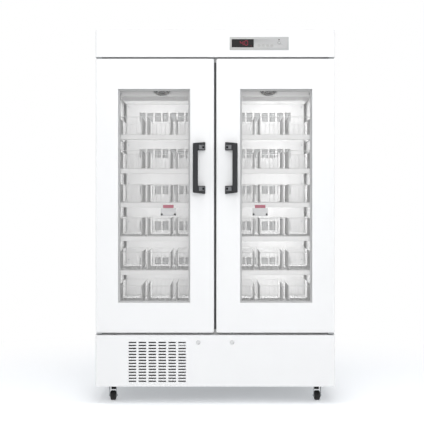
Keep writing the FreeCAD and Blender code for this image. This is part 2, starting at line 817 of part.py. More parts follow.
# Air cooler: a housing under the ceiling, open at the top, with a round outlet and a motor for each fan
cover_x = ("-cover_half_width", "cover_half_width")
housing = cut(
    block(cover_x, ("cover_y", "liner_back"), ("cover_low", "ceiling_z")),
    block(("-cover_half_width + cover_sheet", "cover_half_width - cover_sheet"),
          ("cover_y + cover_sheet", "liner_back - cover_sheet"), ("cover_low + cover_sheet", "ceiling_z")))
outlets = []
motors = []
for side, sign in SIDES.items():
    x = at(sign, "fan_x")
    outlets.append(rod("fan_opening", "y", x, (f"cover_y - {PAST}", f"cover_y + cover_sheet + {PAST}"),
                       "fan_z"))
    motor_y = "cover_y + cover_sheet + fan_set_back + fan_hub_length + motor_gap"
    strut_y = f"{motor_y} + motor_length"
    motors.append(rod("motor_radius", "y", x, (motor_y, strut_y), "fan_z"))
    motors.append(rod("motor_shaft_radius", "y", x, (f"{motor_y} - fan_hub_length", motor_y), "fan_z"))
    motors.append(block((f"{x} - strut_width / 2", f"{x} + strut_width / 2"),
                        (strut_y, f"{strut_y} + strut_thick"), ("cover_low + cover_sheet", "ceiling_z")))
    rotor(f"{side}_evaporator_fan", x, "cover_y + cover_sheet + fan_set_back", "fan_z", "fan_radius",
          "fan_hub_radius", "fan_hub_length", "motor_shaft_radius")
keep(fuse(cut(housing, *outlets), *motors), "evaporator_cover")

# Evaporator: upright fins on a base that lies on the housing's floor
cooler_y = ("cover_y + cooler_front", "cover_y + cooler_front + cooler_depth")
cooler_low = "cover_low + cover_sheet"
cooler = [block(("-cooler_half_width", "cooler_half_width"), cooler_y,
                (cooler_low, f"{cooler_low} + cooler_base"))]
for i in range(int(number("cooler_fins"))):
    fin_x = f"-cooler_half_width + (2 * cooler_half_width - cooler_fin) * {i} / (cooler_fins - 1)"
    cooler.append(block((fin_x, f"{fin_x} + cooler_fin"), cooler_y,
                        (f"{cooler_low} + cooler_base", f"{cooler_low} + cooler_height")))
keep(fuse(*cooler), "evaporator")

# Back duct: a sheet with air slots, folded back at its sides to the liner
duct = new_body("rear_duct_panel")
duct_face = new_sketch(duct, "XZ_Plane", ("-cover_half_width", "floor_z + duct_low", "-(duct_y)"))
rectangle(duct_face, "0", "0", "2 * cover_half_width", "cover_low - floor_z - duct_low")
pad(duct, duct_face, "duct_depth", backwards=True)
duct_room = new_sketch(duct, "XZ_Plane",
                       ("-cover_half_width", "floor_z + duct_low", "-(duct_y + duct_sheet)"))
rectangle(duct_room, "duct_sheet", "duct_sheet", "2 * (cover_half_width - duct_sheet)",
          "cover_low - floor_z - duct_low - 2 * duct_sheet")
pocket(duct, duct_room, "duct_depth - duct_sheet")
vent = new_sketch(duct, "XZ_Plane",
                  ("-vent_pitch_x * (vent_columns - 1) / 2 - vent_width / 2", "floor_z + vent_low",
                   "-(duct_y)"))
rectangle(vent, "0", "0", "vent_width", "vent_height")
vent_cut = pocket(duct, vent, "duct_sheet")
repeat(duct, vent_cut, vent, ("vent_pitch_x", "vent_columns"), ("vent_pitch_z", "vent_rows"))

# Shelf runners: a track of C section on each side of each shelf, on the liner's wall or on uprights
def track(sign, web, outward, tier):
    """A track whose web stands at a distance from the middle and whose mouth faces outward or inward."""
    low = f"tier_low + tier_pitch * {tier} - tray_side + 2 * runner_play"
    high = f"{low} + runner_height + 2 * runner_play"
    if outward:
        x = (web, f"{web} + track_thick + track_overlap")
        room_x = (f"{web} + track_thick", f"{x[1]} + {PAST}")
    else:
        x = (f"{web} - track_thick - track_overlap", web)
        room_x = (f"{x[0]} - {PAST}", f"{web} - track_thick")
    section = block(span(sign, *x), ("track_y", "tray_back"),
                    (f"{low} - track_thick", f"{high} + track_thick"))
    room_y = (f"track_y - {PAST}", f"tray_back + {PAST}")
    return cut(section, block(span(sign, *room_x), room_y, (low, high)))


runner_pieces = []
for sign in SIDES.values():
    for upright_y in ("track_y + upright_end", "tray_back - upright_depth - upright_end"):
        runner_pieces.append(block(span(sign, "upright_out - upright_width", "upright_out"),
                                   (upright_y, f"{upright_y} + upright_depth"), ("floor_z", "cover_low")))
    for tier in range(int(number("tier_count"))):
        runner_pieces.append(track(sign, "upright_out", True, tier))
        runner_pieces.append(track(sign, "room_half", False, tier))
keep(group(*runner_pieces), "shelf_runners")


# Sliding shelves: a tray with a deep front lip and a runner each side, carrying three open baskets
def drawer(name, sign, tier):
    top = f"(tier_low + tier_pitch * {tier})"
    plate_part = block(span(sign, "tray_in", "tray_out"), ("tray_y", "tray_back"),
                       (f"{top} - tray_plate", top))
    lip = block(span(sign, "tray_in - runner_width", "tray_out + runner_width"),
                ("tray_y", "tray_y + lip_depth"), (f"{top} - lip_height", top))
    pieces = [plate_part, lip]
    runner_low = f"{top} - tray_side + runner_play * 3"
    for edge, outward in (("tray_in", -1), ("tray_out", 1)):
        flange_x = (edge, f"{edge} + tray_plate") if outward < 0 else (f"{edge} - tray_plate", edge)
        runner_x = (f"{edge} - runner_width", edge) if outward < 0 else (edge, f"{edge} + runner_width")
        pieces.append(block(span(sign, *flange_x), ("tray_y", "tray_back"), (f"{top} - tray_side", top)))
        pieces.append(block(span(sign, *runner_x), ("tray_y", "tray_back"),
                            (runner_low, f"{runner_low} + runner_height")))
    tray = fuse(*pieces)
    baskets = []
    for place in range(int(number("baskets_across"))):
        low_x = f"tray_in + basket_margin + {place} * (basket_width + basket_gap)"
        high_x = f"{low_x} + basket_width"
        y = ("tray_y + basket_front", "tray_back - basket_back")
        z = (top, f"{top} + basket_height")
        inner_y = (f"{y[0]} + basket_wall", f"{y[1]} - basket_wall")
        baskets.append(cut(
            block(span(sign, low_x, high_x), y, z),
            block(span(sign, f"{low_x} + basket_wall", f"{high_x} - basket_wall"), inner_y,
                  (f"{top} + basket_wall", f"{z[1]} + {PAST}"))))
    keep(group(tray, *baskets), name)


for side, sign in SIDES.items():
    for tier in range(int(number("tier_count"))):
        drawer(f"{side}_shelf_{tier + 1}", sign, tier)


# Doors: a foamed steel frame with a rebate for the glass, which an inner frame holds from behind
def door(side, sign):
    body = new_body(f"{side}_door_frame")
    low_x, _ = span(sign, "door_in", "door_out")
    face = new_sketch(body, "XZ_Plane", (low_x, "door_low", "-(front_y)"))
    rectangle(face, "0", "0", "door_out - door_in", "door_height")
    slab = pad(body, face, "door_thick", backwards=True)
    corners = rounded(body, slab, "door_corner",
                      lambda a, b: same(a.x, b.x) and same(a.z, b.z))
    front = number("front_y")
    rounded(body, corners, "door_edge_round",
            lambda a, b: same(a.x, b.x) and same(a.y, front) and same(b.y, front))
    window_low_x, _ = span(sign, "glass_in", "glass_out")
    window = new_sketch(body, "XZ_Plane", (window_low_x, "glass_low", "-(front_y)"))
    rectangle(window, "0", "0", "glass_out - glass_in", "glass_top - glass_low")
    pocket(body, window, "door_thick")
    lap = "glass_lap + rebate_play"
    rebate = new_sketch(body, "XZ_Plane", (window_low_x, "glass_low", "-(pane_y)"))
    rectangle(rebate, f"-({lap})", f"-({lap})", f"glass_out - glass_in + 2 * ({lap})",
              f"glass_top - glass_low + 2 * ({lap})")
    pocket(body, rebate, "door_thick - glass_lip")
    for plane in ("door_low + bush_length", "door_top"):
        seat = new_sketch(body, "XY_Plane", (at(sign, "hinge_x"), "hinge_y", plane))
        circle(seat, "0", "0", "bush_radius")
        pocket(body, seat, "bush_length")

    def lapped(extra, y):
        """A block over the window, wider than it by extra on every side."""
        return block(span(sign, f"glass_in - ({extra})", f"glass_out + {extra}"), y,
                     (f"glass_low - ({extra})", f"glass_top + {extra}"))

    outer_pane = lapped("glass_lap", ("pane_y", "spacer_y"))
    inner_pane = lapped("glass_lap", ("inner_pane_y", "retainer_y"))
    keep(group(outer_pane, inner_pane), f"{side}_door_glass")
    keep(cut(lapped("spacer_hidden", ("spacer_y", "inner_pane_y")),
             lapped("0 - spacer_show", ("spacer_y", "inner_pane_y"))), f"{side}_door_glass_spacer")
    keep(cut(lapped(lap, ("retainer_y", "door_back")), lapped("0", ("retainer_y", "door_back"))),
         f"{side}_door_inner_frame")

    gasket_y = ("door_back", "door_back + gasket_gap - face_play")
    seal_x = ("door_in + gasket_inset", "hinge_x - gasket_hinge_gap")
    seal_z = ("door_low + gasket_inset", "door_top - gasket_inset")
    keep(cut(block(span(sign, *seal_x), gasket_y, seal_z),
             block(span(sign, f"{seal_x[0]} + gasket_width", f"{seal_x[1]} - gasket_width"), gasket_y,
                   (f"{seal_z[0]} + gasket_width", f"{seal_z[1]} - gasket_width"))),
         f"{side}_door_gasket")

    # a bush at each end of the hinge line, proud of the door, and the tab that the lock's cam stands before
    fittings = []
    for low, high in (("door_low - hinge_play + face_play", "door_low + bush_length"),
                      ("door_top - bush_length", "door_top + hinge_play - face_play")):
        sleeve = rod("bush_radius", "z", at(sign, "hinge_x"), "hinge_y", (low, high))
        bore = rod("hinge_pin_radius + shaft_play", "z", at(sign, "hinge_x"), "hinge_y",
                   (f"{low} - {PAST}", f"{high} + {PAST}"))
        fittings.append(cut(sleeve, bore))
    keeper_y = "cam_y + cam_thick + 2 * face_play"
    fittings.append(block(span(sign, "lock_x - keeper_width / 2", "lock_x + keeper_width / 2"),
                          (keeper_y, f"{keeper_y} + keeper_thick"), ("door_low - keeper_drop", "door_low")))
    keep(group(*fittings), f"{side}_door_fittings")


for side, sign in SIDES.items():
    door(side, sign)


# Hinge brackets: a plate in the gap with the pin, on a leg that is screwed to the side panel's front flange
brackets = []
for side, sign in SIDES.items():
    x = span(sign, "hinge_x - hinge_plate_width / 2", "hinge_x + hinge_plate_width / 2")
    leg_y = ("case_y - hinge_leg", "case_y")
    plate_y = ("hinge_y - hinge_plate_width / 2", "case_y")
    low_plate = ("door_low - hinge_play - hinge_plate", "door_low - hinge_play")
    top_plate = ("door_top + hinge_play", "door_top + hinge_play + hinge_plate")
    brackets.append(fuse(
        block(x, plate_y, low_plate),
        block(x, leg_y, (f"{low_plate[1]} - hinge_leg_height", low_plate[1])),
        rod("hinge_pin_radius", "z", at(sign, "hinge_x"), "hinge_y",
            (low_plate[1], "door_low + bush_length - hinge_pin_short"))))
    brackets.append(fuse(
        block(x, plate_y, top_plate),
        block(x, leg_y, (top_plate[0], f"{top_plate[0]} + hinge_leg_height")),
        rod("hinge_pin_radius", "z", at(sign, "hinge_x"), "hinge_y",
            ("door_top - bush_length + hinge_pin_short", top_plate[0]))))
keep(group(*brackets), "hinge_brackets")


# Handles: a C of dark plastic whose two arms lean out from the door to a grip bar
def handle(side, sign):
    """The C's section seen from above, extruded, with the finger gap taken out of its middle."""
    foot_in = "(door_in + handle_foot_in)"
    foot_out = f"({foot_in} + foot_width)"
    grip_out = f"({foot_out} + grip_width)"
    profile = doc.addObject("Sketcher::SketchObject", "HandleProfile")
    bind(profile, x="0", y="0", z="handle_z - handle_height / 2")
    reach = "handle_reach"
    seen_from_above = [
        (foot_in, "0"),
        (f"{foot_out} - arm_lean", "0"),
        (grip_out, f"{reach} - grip_depth + arm_lean"),
        (grip_out, f"{reach} - grip_chamfer"),
        (f"{grip_out} - grip_chamfer", reach),
        (f"{foot_out} + grip_chamfer", reach),
        (foot_out, f"{reach} - grip_chamfer"),
        (foot_in, "foot_thick"),
    ]
    outline(profile, [(at(sign, across), f"front_y - ({out})") for across, out in seen_from_above])
    solid = doc.addObject("Part::Extrusion", "HandleSolid")
    solid.Base = profile
    solid.DirMode = "Custom"
    solid.Dir = Vector(0, 0, 1)
    solid.Solid = True
    bind(solid, LengthFwd="handle_height")

    # seen from the front its ends slope, so that the grip is shorter than the feet
    slope = doc.addObject("Sketcher::SketchObject", "SlopeProfile")
    slope.Placement = Placement(Vector(), Rotation(Vector(1, 0, 0), 90))
    bind(slope, x="0", y="front_y", z="handle_z")
    outline(slope, [
        (at(sign, foot_in), "-handle_height / 2"),
        (at(sign, grip_out), "-grip_height / 2"),
        (at(sign, grip_out), "grip_height / 2"),
        (at(sign, foot_in), "handle_height / 2"),
    ])
    sloped = doc.addObject("Part::Extrusion", "SlopedSolid")
    sloped.Base = slope
    sloped.DirMode = "Custom"
    sloped.Dir = Vector(0, -1, 0)
    sloped.Solid = True
    bind(sloped, LengthFwd="handle_reach")
    whole = doc.addObject("Part::MultiCommon", "HandleForm")
    whole.Shapes = [solid, sloped]

    gap_z = ("handle_z - handle_height / 2 + arm_height", "handle_z + handle_height / 2 - arm_height")
    behind = block(span(sign, f"{foot_in} - {PAST}", f"{grip_out} + {PAST}"),
                   (f"front_y - {reach} + grip_depth", f"front_y + {PAST}"), gap_z)
    beside = block(span(sign, f"{foot_in} - {PAST}", foot_out),
                   (f"front_y - {reach} - {PAST}", f"front_y + {PAST}"), gap_z)
    keep(cut(whole, behind, beside), f"{side}_door_handle")


for side, sign in SIDES.items():
    handle(side, sign)


# Locks: a barrel in the lower panel with a key slot in its head and a cam on its inner end
def lock(side, sign):
    """At rest the cam points away from the middle; a quarter turn stands it before the door's keeper."""
    x = at(sign, "lock_x")
    head = rod("lock_head_radius", "y", x, ("lock_y", "front_y - face_play"), "lock_z")
    barrel = rod("lock_radius", "y", x, ("lock_y", "cam_y"), "lock_z")
    cam = block(span(sign, "lock_x - cam_width / 2", "lock_x + cam_length"), ("cam_y", "cam_y + cam_thick"),
                ("lock_z - cam_width / 2", "lock_z + cam_width / 2"))
    key_slot = block((f"{x} - key_slot_length / 2", f"{x} + key_slot_length / 2"),
                     (f"lock_y - {PAST}", "lock_y + key_slot_depth"),
                     ("lock_z - key_slot_width / 2", "lock_z + key_slot_width / 2"))
    keep(cut(fuse(head, barrel, cam), key_slot), f"{side}_door_lock")


for side, sign in SIDES.items():
    lock(side, sign)

# Cooling unit on the deck: condenser behind the grille, its fan and motor, and the compressor
condenser_x = ("condenser_x - condenser_width / 2", "condenser_x + condenser_width / 2")
coil_z = ("deck_z", "deck_z + condenser_height")
coil = block(condenser_x, ("condenser_y", "condenser_y + condenser_depth"), coil_z)
coil_grooves = []
for i in range(1, int(number("condenser_fins"))):
    middle = f"{condenser_x[0]} + condenser_width * {i} / condenser_fins"
    coil_grooves.append(block((f"{middle} - condenser_fin / 2", f"{middle} + condenser_fin / 2"),
                              (f"condenser_y - {PAST}", "condenser_y + groove_depth"),
                              (f"{coil_z[0]} + groove_end", f"{coil_z[1]} - groove_end")))
motor_low_y = "cooling_fan_y + cooling_fan_length + cooling_motor_gap"
motor_high_y = f"{motor_low_y} + cooling_motor_length"
motor_stand = fuse(
    rod("cooling_motor_radius", "y", "condenser_x", (motor_low_y, motor_high_y), "condenser_z"),
    rod("motor_shaft_radius", "y", "condenser_x", ("cooling_fan_y + cooling_motor_gap", motor_low_y),
        "condenser_z"),
    block(("condenser_x - cooling_motor_radius", "condenser_x + cooling_motor_radius"),
          (f"{motor_low_y} + motor_stand_inset", f"{motor_high_y} - motor_stand_inset"),
          ("deck_z", "condenser_z")))
keep(group(cut(coil, *coil_grooves), motor_stand), "condenser")
rotor("condenser_fan", "condenser_x", "cooling_fan_y", "condenser_z", "cooling_fan_radius",
      "cooling_fan_hub", "cooling_fan_length", "motor_shaft_radius")

compressor = new_body("compressor")
shell = new_sketch(compressor, "XZ_Plane", ("compressor_x", "deck_z", "-(compressor_y)"))
DOME_ANGLES = (0, 30, 60, 90)
dome = [(f"compressor_radius * cos({angle})", f"compressor_height - dome_rise + dome_rise * sin({angle})")
        for angle in DOME_ANGLES]
outline(shell, [
    ("0", "0"),
    ("compressor_radius + compressor_flange", "0"),
    ("compressor_radius + compressor_flange", "flange_thick"),
    ("compressor_radius - compressor_waist", "compressor_foot"),
    ("compressor_radius", "compressor_foot + compressor_flare"),
    ("compressor_radius", "compressor_seam - seam_bead"),
    ("compressor_radius + seam_bead", "compressor_seam - seam_bead / 2"),
    ("compressor_radius + seam_bead", "compressor_seam + seam_bead / 2"),
    ("compressor_radius", "compressor_seam + seam_bead"),
    *dome,
])
can = compressor.newObject("PartDesign::Revolution", "Revolution")
can.Profile = shell
can.ReferenceAxis = (shell, ["V_Axis"])
can.Angle = 360

doc.recompute()

# Every object must have been made, and every sub-part must be a valid shape, before anything is written
for part in doc.Objects:
    if "Invalid" in part.State or "Error" in part.State:
        raise RuntimeError(f"{part.Label} wasn't made: {part.State}")
for name, part in NODES.items():
    if part.Shape.isNull() or not part.Shape.isValid() or not part.Shape.Solids:
        raise RuntimeError(f"{name} isn't a valid shape")

os.makedirs("parts", exist_ok=True)
for name, part in NODES.items():
    part.Shape.exportStep(f"parts/{name}.step")
print(len(NODES), "sub-parts written")
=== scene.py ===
import math

import bmesh
import bpy
from mathutils import Matrix, Vector


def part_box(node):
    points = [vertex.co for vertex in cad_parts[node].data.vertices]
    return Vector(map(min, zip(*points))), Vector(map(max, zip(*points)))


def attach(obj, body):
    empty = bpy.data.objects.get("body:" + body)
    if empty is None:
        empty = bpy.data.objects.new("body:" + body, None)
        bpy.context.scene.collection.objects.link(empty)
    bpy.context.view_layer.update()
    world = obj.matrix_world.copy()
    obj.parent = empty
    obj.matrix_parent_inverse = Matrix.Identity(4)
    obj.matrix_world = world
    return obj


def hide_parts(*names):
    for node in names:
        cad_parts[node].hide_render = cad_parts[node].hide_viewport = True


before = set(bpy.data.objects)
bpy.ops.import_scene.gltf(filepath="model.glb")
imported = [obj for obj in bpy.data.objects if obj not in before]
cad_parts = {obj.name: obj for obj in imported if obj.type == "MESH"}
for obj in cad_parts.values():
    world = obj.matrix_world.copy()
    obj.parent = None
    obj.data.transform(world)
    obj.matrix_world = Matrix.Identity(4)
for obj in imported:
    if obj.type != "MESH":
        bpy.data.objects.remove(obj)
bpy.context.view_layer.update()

# A blood bank refrigerator: a white cabinet on casters with two glazed doors, shelves of wire baskets behind
# them, a cooling unit under the lower panel and an air cooler under the ceiling. Metres; the doors face -Y.
scene = bpy.context.scene
scene.view_settings.view_transform = "Standard"
SIDES = {"left": -1, "right": 1}

# Camera: level with the middle of the doors and straight in front of them, on a long lens, so that the
# cabinet's sides don't show and the shelves shrink only a little with depth.
def put(name, data):
    """A new object in the scene."""
    made = bpy.data.objects.new(name, data)
    scene.collection.objects.link(made)
    return made


camera_distance, camera_height = 5.2, 1.046
camera_data = bpy.data.cameras.new("camera")
camera_data.lens = 86.9
camera_data.sensor_width = 36
camera_data.shift_x = -0.0075
camera_data.shift_y = -0.033
camera = put("camera", camera_data)
camera.location = (0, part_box("left_door_frame")[0].y - camera_distance, camera_height)
camera.rotation_euler = (math.radians(90), 0, 0)
scene.camera = camera


# Studio: a white floor and a white surround, lit by broad soft lamps from the front, above and both sides,
# so that the white cabinet keeps soft greys and its shadow lies close under it.
def colour(code):
    """An sRGB hex colour as the linear values that shaders take."""
    parts = [int(code[i:i + 2], 16) / 255 for i in (0, 2, 4)]
    return (*[p / 12.92 if p <= 0.04045 else ((p + 0.055) / 1.055) ** 2.4 for p in parts], 1)


def add(tree, kind, *first, **named):
    """A new node: its first inputs in order, then others by name, with _ for a space; a name in lower case is
    a property. An input is a value, a node or a socket."""
    made = tree.nodes.new(kind if "Node" in kind else tree.bl_idname.replace("Tree", kind))
    inputs = dict(enumerate(first))
    for key, value in named.items():
        if key.islower():
            setattr(made, key, value)
        else:
            inputs[key.replace("_", " ")] = value
    for key, value in inputs.items():
        if isinstance(value, bpy.types.Node):
            value = value.outputs[0]
        if isinstance(value, bpy.types.NodeSocket):
            tree.links.new(value, made.inputs[key])
        else:
            made.inputs[key].default_value = value
    return made


def empty_tree(owner):
    """The node tree of a world or a material, without its first nodes."""
    owner.use_nodes = True
    owner.node_tree.nodes.clear()
    return owner.node_tree


def seen_directly(tree):
    """1 for camera, glossy and transmission rays, which should meet the plain white surround."""
    path = add(tree, "LightPath").outputs
    total = path["Is Camera Ray"]
    for ray in ("Is Glossy Ray", "Is Transmission Ray"):
        total = add(tree, "Math", total, path[ray], operation="ADD", use_clamp=True)
    return total


world = bpy.data.worlds.new("white surround")
tree = empty_tree(world)
soft = add(tree, "Background", Color=colour("FAFBFC"), Strength=0.62)
plain = add(tree, "Background", Color=colour("FFFFFF"), Strength=1.0)
surround = add(tree, "MixShader", seen_directly(tree), soft, plain)
add(tree, "OutputWorld", Surface=surround)
scene.world = world


def lamp(name, place, target, watts, width, height=None):
    """A soft lamp, a disc or a rectangle, that isn't seen: panes and gloss would mirror its shape."""
    light = bpy.data.lights.new(name, "AREA")
    light.size = width
    if height:
        light.shape = "RECTANGLE"
        light.size_y = height
    else:
        light.shape = "DISK"
    light.energy = watts
    holder = put(name, light)
    holder.visible_camera = False
    holder.visible_glossy = False
    holder.visible_transmission = False
    holder.location = place
    holder.rotation_euler = (Vector(target) - Vector(place)).to_track_quat("-Z", "Y").to_euler()


for word, place, aim_y, watts, width in (
        ("front", (0.2, -4.6, 2.3), 0, 62, 3.2), ("top", (0, -1.2, 4.4), -0.1, 46, 3.0),
        ("left", (-4.2, -1.6, 2.2), 0, 22, 2.4), ("right", (4.2, -1.6, 2.2), 0, 26, 2.4),
        ("rear", (0, 4.4, 2.6), 0, 24, 2.4)):
    lamp(f"{word}_softbox", place, (0, aim_y, 1.0), watts, width)
# low lamps stand for the cabinet's own lighting: over each bay's back wall, and behind each window's glass;
# the right bay is the brighter one
pane_low, pane_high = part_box("right_door_glass")
pane_middle = (pane_low + pane_high) / 2
for side, share in (("left", 1.0), ("right", 1.3)):
    for depth, y, watts in (("back", 0.05, 2.25), ("front", -0.262, 0.42)):
        place = Vector((SIDES[side] * pane_middle.x, y, pane_middle.z))
        lamp(f"{side}_{depth}_shelf_lamp", place, place + Vector((0, 1, 0)), watts * share,
            pane_high.x - pane_low.x, pane_high.z - pane_low.z)

reach = 30
floor_mesh = bpy.data.meshes.new("floor")
floor_mesh.from_pydata([(-reach, -reach, 0), (reach, -reach, 0), (reach, reach, 0), (-reach, reach, 0)], [],
    [(0, 1, 2, 3)])
floor = put("floor", floor_mesh)
floor_paint = bpy.data.materials.new("white studio floor")
tree = empty_tree(floor_paint)
floor_lit = add(tree, "BsdfDiffuse", Color=colour("EDEFF2"))
floor_glow = add(tree, "Emission", Color=colour("FFFFFF"), Strength=0.22)
floor_sum = add(tree, "AddShader", floor_lit, floor_glow)
# beyond the object's shadow, and in mirrors, the floor is as white as the surround
floor_place = add(tree, "TexCoord").outputs["Object"]
floor_distance = add(tree, "VectorMath", floor_place, operation="LENGTH")
floor_fade = add(tree, "MapRange", floor_distance.outputs["Value"], 0.9, 2.4, 0.0, 1.0,
    interpolation_type="SMOOTHSTEP")
floor_mirrored = add(tree, "LightPath").outputs["Is Glossy Ray"]
floor_plain = add(tree, "Math", floor_fade, floor_mirrored, operation="MAXIMUM")
floor_white = add(tree, "Emission", Color=colour("FFFFFF"), Strength=1.0)
floor_seen = add(tree, "MixShader", floor_plain, floor_sum, floor_white)
floor_mix = add(tree, "MixShader", seen_directly(tree), floor_lit, floor_seen)
add(tree, "OutputMaterial", Surface=floor_mix)
floor_mesh.materials.append(floor_paint)


# Base frame: rails, a deck and caster pads of hot-dip galvanised sheet, pressed and spot-welded. Its zinc
# has crystals up to a centimetre across, which catch the light at different angles.
def finish(name, base, roughness, tint=None, patch=0.1, grain=None, pattern=None, metallic=0.0, **more):
    """A material on Object coordinates: tint drifts in over patch metres, or else along a pattern of streaks
    or crystals (size, stretch); grain is (size, height) of bumps; more holds other Principled values."""
    material = bpy.data.materials.new(name)
    tree = empty_tree(material)
    place = add(tree, "TexCoord").outputs["Object"]
    surface = add(tree, "BsdfPrincipled", Base_Color=colour(base), Roughness=roughness, Metallic=metallic,
        **more)
    if tint:
        size, stretch = pattern or (1, None)
        scaled = place if not pattern else add(tree, "Mapping", Vector=place,
            Scale=[1 / (size * s) for s in stretch])
        if stretch == (1, 1, 1):
            cells = add(tree, "TexVoronoi", Vector=scaled, Scale=1.0)
            strength = add(tree, "SeparateColor", cells.outputs["Color"])
        else:
            strength = add(tree, "TexNoise", Vector=scaled, Scale=1.0 if pattern else 1 / patch,
                Detail=3.0 if pattern else 4.0)
        tree.links.new(blended(tree, strength, base, tint), surface.inputs["Base Color"])
        rough = add(tree, "MapRange", strength, To_Min=roughness * 0.85, To_Max=min(1.0, roughness * 1.15))
        tree.links.new(rough.outputs[0], surface.inputs["Roughness"])
    if grain:
        bumps = add(tree, "TexNoise", Vector=place, Scale=1 / grain[0], Detail=2.0)
        raised = add(tree, "Bump", Strength=1.0, Distance=grain[1], Height=bumps)
        tree.links.new(raised.outputs[0], surface.inputs["Normal"])
    add(tree, "OutputMaterial", Surface=surface)
    return material


def blended(tree, factor, base, tint):
    """The colour between two, by a factor."""
    mix = add(tree, "Mix", factor, data_type="RGBA")
    mix.inputs[6].default_value = colour(base)
    mix.inputs[7].default_value = colour(tint)
    return mix.outputs[2]


def dress(material, *node_names):
    """Gives carried-over CAD nodes their finish."""
    for node_name in node_names:
        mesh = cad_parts[node_name].data
        mesh.materials.clear()
        mesh.materials.append(material)


# zinc crystals of 9 mm, each with its own grey and gloss
galvanised_steel = finish("hot-dip galvanised steel", "A9AEB2", 0.45, "C6CACD", metallic=0.9,
    pattern=(0.009, (1, 1, 1)), grain=(0.02, 0.00015))
dress(galvanised_steel, "base_frame")


# Casters: a pressed fork that turns on a ball race and kingpin, and a wheel with a rubber tread on a nylon
# hub. The front pair has a pedal behind the wheel that locks wheel and fork together.
def mm(text):
    """Points in metres, from a text in millimetres with commas between them; a list stays as it is."""
    if not isinstance(text, str):
        return text
    return [tuple(float(value) / 1000 for value in point.split()) for point in text.split(",")]


form = bmesh.new()


def bar(low, high, edge=0.0004, segments=1):
    """A plate or bar between two corners, its edges broken by a small bevel."""
    low, high = Vector(low), Vector(high)
    size = Matrix.Diagonal((*(high - low), 1))
    cube = bmesh.ops.create_cube(form, size=1, matrix=Matrix.Translation((low + high) / 2) @ size)
    if edge:
        edges = {e for v in cube["verts"] for e in v.link_edges}
        bmesh.ops.bevel(form, geom=list(edges), offset=edge, segments=segments, affect="EDGES")


def joined(rings):
    """Faces between each ring of points and the next; a ring of one point is a tip."""
    for near, far in zip(rings, rings[1:]):
        count = max(len(near), len(far))
        for k in range(count):
            after = (k + 1) % count
            corners = [near[k % len(near)], near[after % len(near)], far[after % len(far)], far[k % len(far)]]
            corners = list(dict.fromkeys(corners))
            if len(corners) > 2:
                form.faces.new(corners)


def turned(profile, centre, axis="Z", steps=32, closed=False, out=1):
    """A turned form: profile gives (place along the axis, radius) from end to end; a closed one is a ring
    whose section comes back to its start; out -1 turns it round."""
    spin = {"X": Matrix.Rotation(math.pi / 2, 4, "Y"), "Y": Matrix.Rotation(-math.pi / 2, 4, "X"),
        "Z": Matrix.Identity(4)}[axis]
    place = Matrix.Translation(centre) @ spin
    rings = []
    for along, radius in mm(profile):
        angles = [2 * math.pi * k / steps for k in range(steps if radius else 1)]
        rings.append([form.verts.new(place @ Vector((radius * math.cos(a), radius * math.sin(a),
            along * out))) for a in angles])
    joined(rings + rings[:1] if closed else rings)


def plate(outline, axis, low, high, at=(0, 0)):
    """A flat outline pushed from low to high along an axis; its points are the other two coordinates."""
    ends = []
    for depth in (low, high):
        ends.append([])
        for a, b in mm(outline):
            place = [a + at[0], b + at[1]]
            place.insert("XYZ".index(axis), depth)
            ends[-1].append(form.verts.new(place))
        form.faces.new(ends[-1])
    joined(ends)


def mitred(low, high, section, y):
    """A section carried round a rectangle in XZ; section gives (inward from the rectangle, depth from y)."""
    rings = []
    for inward, depth in mm(section):
        left, right, foot, head = low.x + inward, high.x - inward, low.z + inward, high.z - inward
        rings.append([form.verts.new((x, y + depth, z)) for x,
            z in ((left, foot), (right, foot), (right, head), (left, head))])
    joined(rings + rings[:1])


def moved(matrix, build):
    """Carries what build adds to a form by a matrix."""
    before = set(form.verts)
    build()
    bmesh.ops.transform(form, matrix=matrix, verts=[v for v in form.verts if v not in before])


def built(name):
    """The form under construction as a mesh, its faces outwards; the next form starts empty."""
    global form
    bmesh.ops.recalc_face_normals(form, faces=form.faces)
    mesh = bpy.data.meshes.new(name)
    form.to_mesh(mesh)
    form.free()
    form = bmesh.new()
    return mesh


def shaped(name, material=None, mesh=None, sharp=35):
    """A given mesh or the built one, shaded smooth but for its sharp edges."""
    mesh = mesh or built(name)
    if material:
        mesh.materials.clear()
        mesh.materials.append(material)
    mesh.shade_smooth()
    mesh.set_sharp_from_angle(angle=math.radians(sharp))
    return mesh


def fitted(name, material=None, body="cabinet", *nodes, slot=None, mesh=None, sharp=35):
    """A piece that rides on a body and stands for CAD nodes; its slot is not used."""
    piece = put(name, shaped(name, material, mesh, sharp))
    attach(piece, body)
    if nodes:
        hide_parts(*nodes)


def softened(node_name, edge, segments, material, body, slot):
    """A copy of a CAD node as one clean mesh, its corners rounded as tooling leaves them."""
    form.from_mesh(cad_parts[node_name].data)
    bmesh.ops.remove_doubles(form, verts=form.verts, dist=1e-6)
    bmesh.ops.dissolve_limit(form, angle_limit=math.radians(2), verts=form.verts, edges=form.edges)
    corners = [e for e in form.edges if len(e.link_faces) == 2 and e.calc_face_angle(0) > math.radians(28)]
    bmesh.ops.bevel(form, geom=corners, offset=edge, segments=segments, affect="EDGES", clamp_overlap=True)
    fitted(node_name + "_rounded", material, body, node_name, slot=slot)


zinc_plate = finish("zinc-plated pressed steel", "8E9296", 0.38, "A6AAAE", 0.02, (0.004, 0.00005),
    metallic=0.9)
tread_rubber = finish("moulded tyre rubber", "161617", 0.78, "242425", 0.015, (0.002, 0.0001))
hub_nylon = finish("moulded grey nylon", "6E7175", 0.5, "7B7E82", 0.02, (0.003, 0.00004))
black_nylon = finish("moulded black nylon", "151617", 0.5, "222324", 0.03, (0.0015, 0.00005))

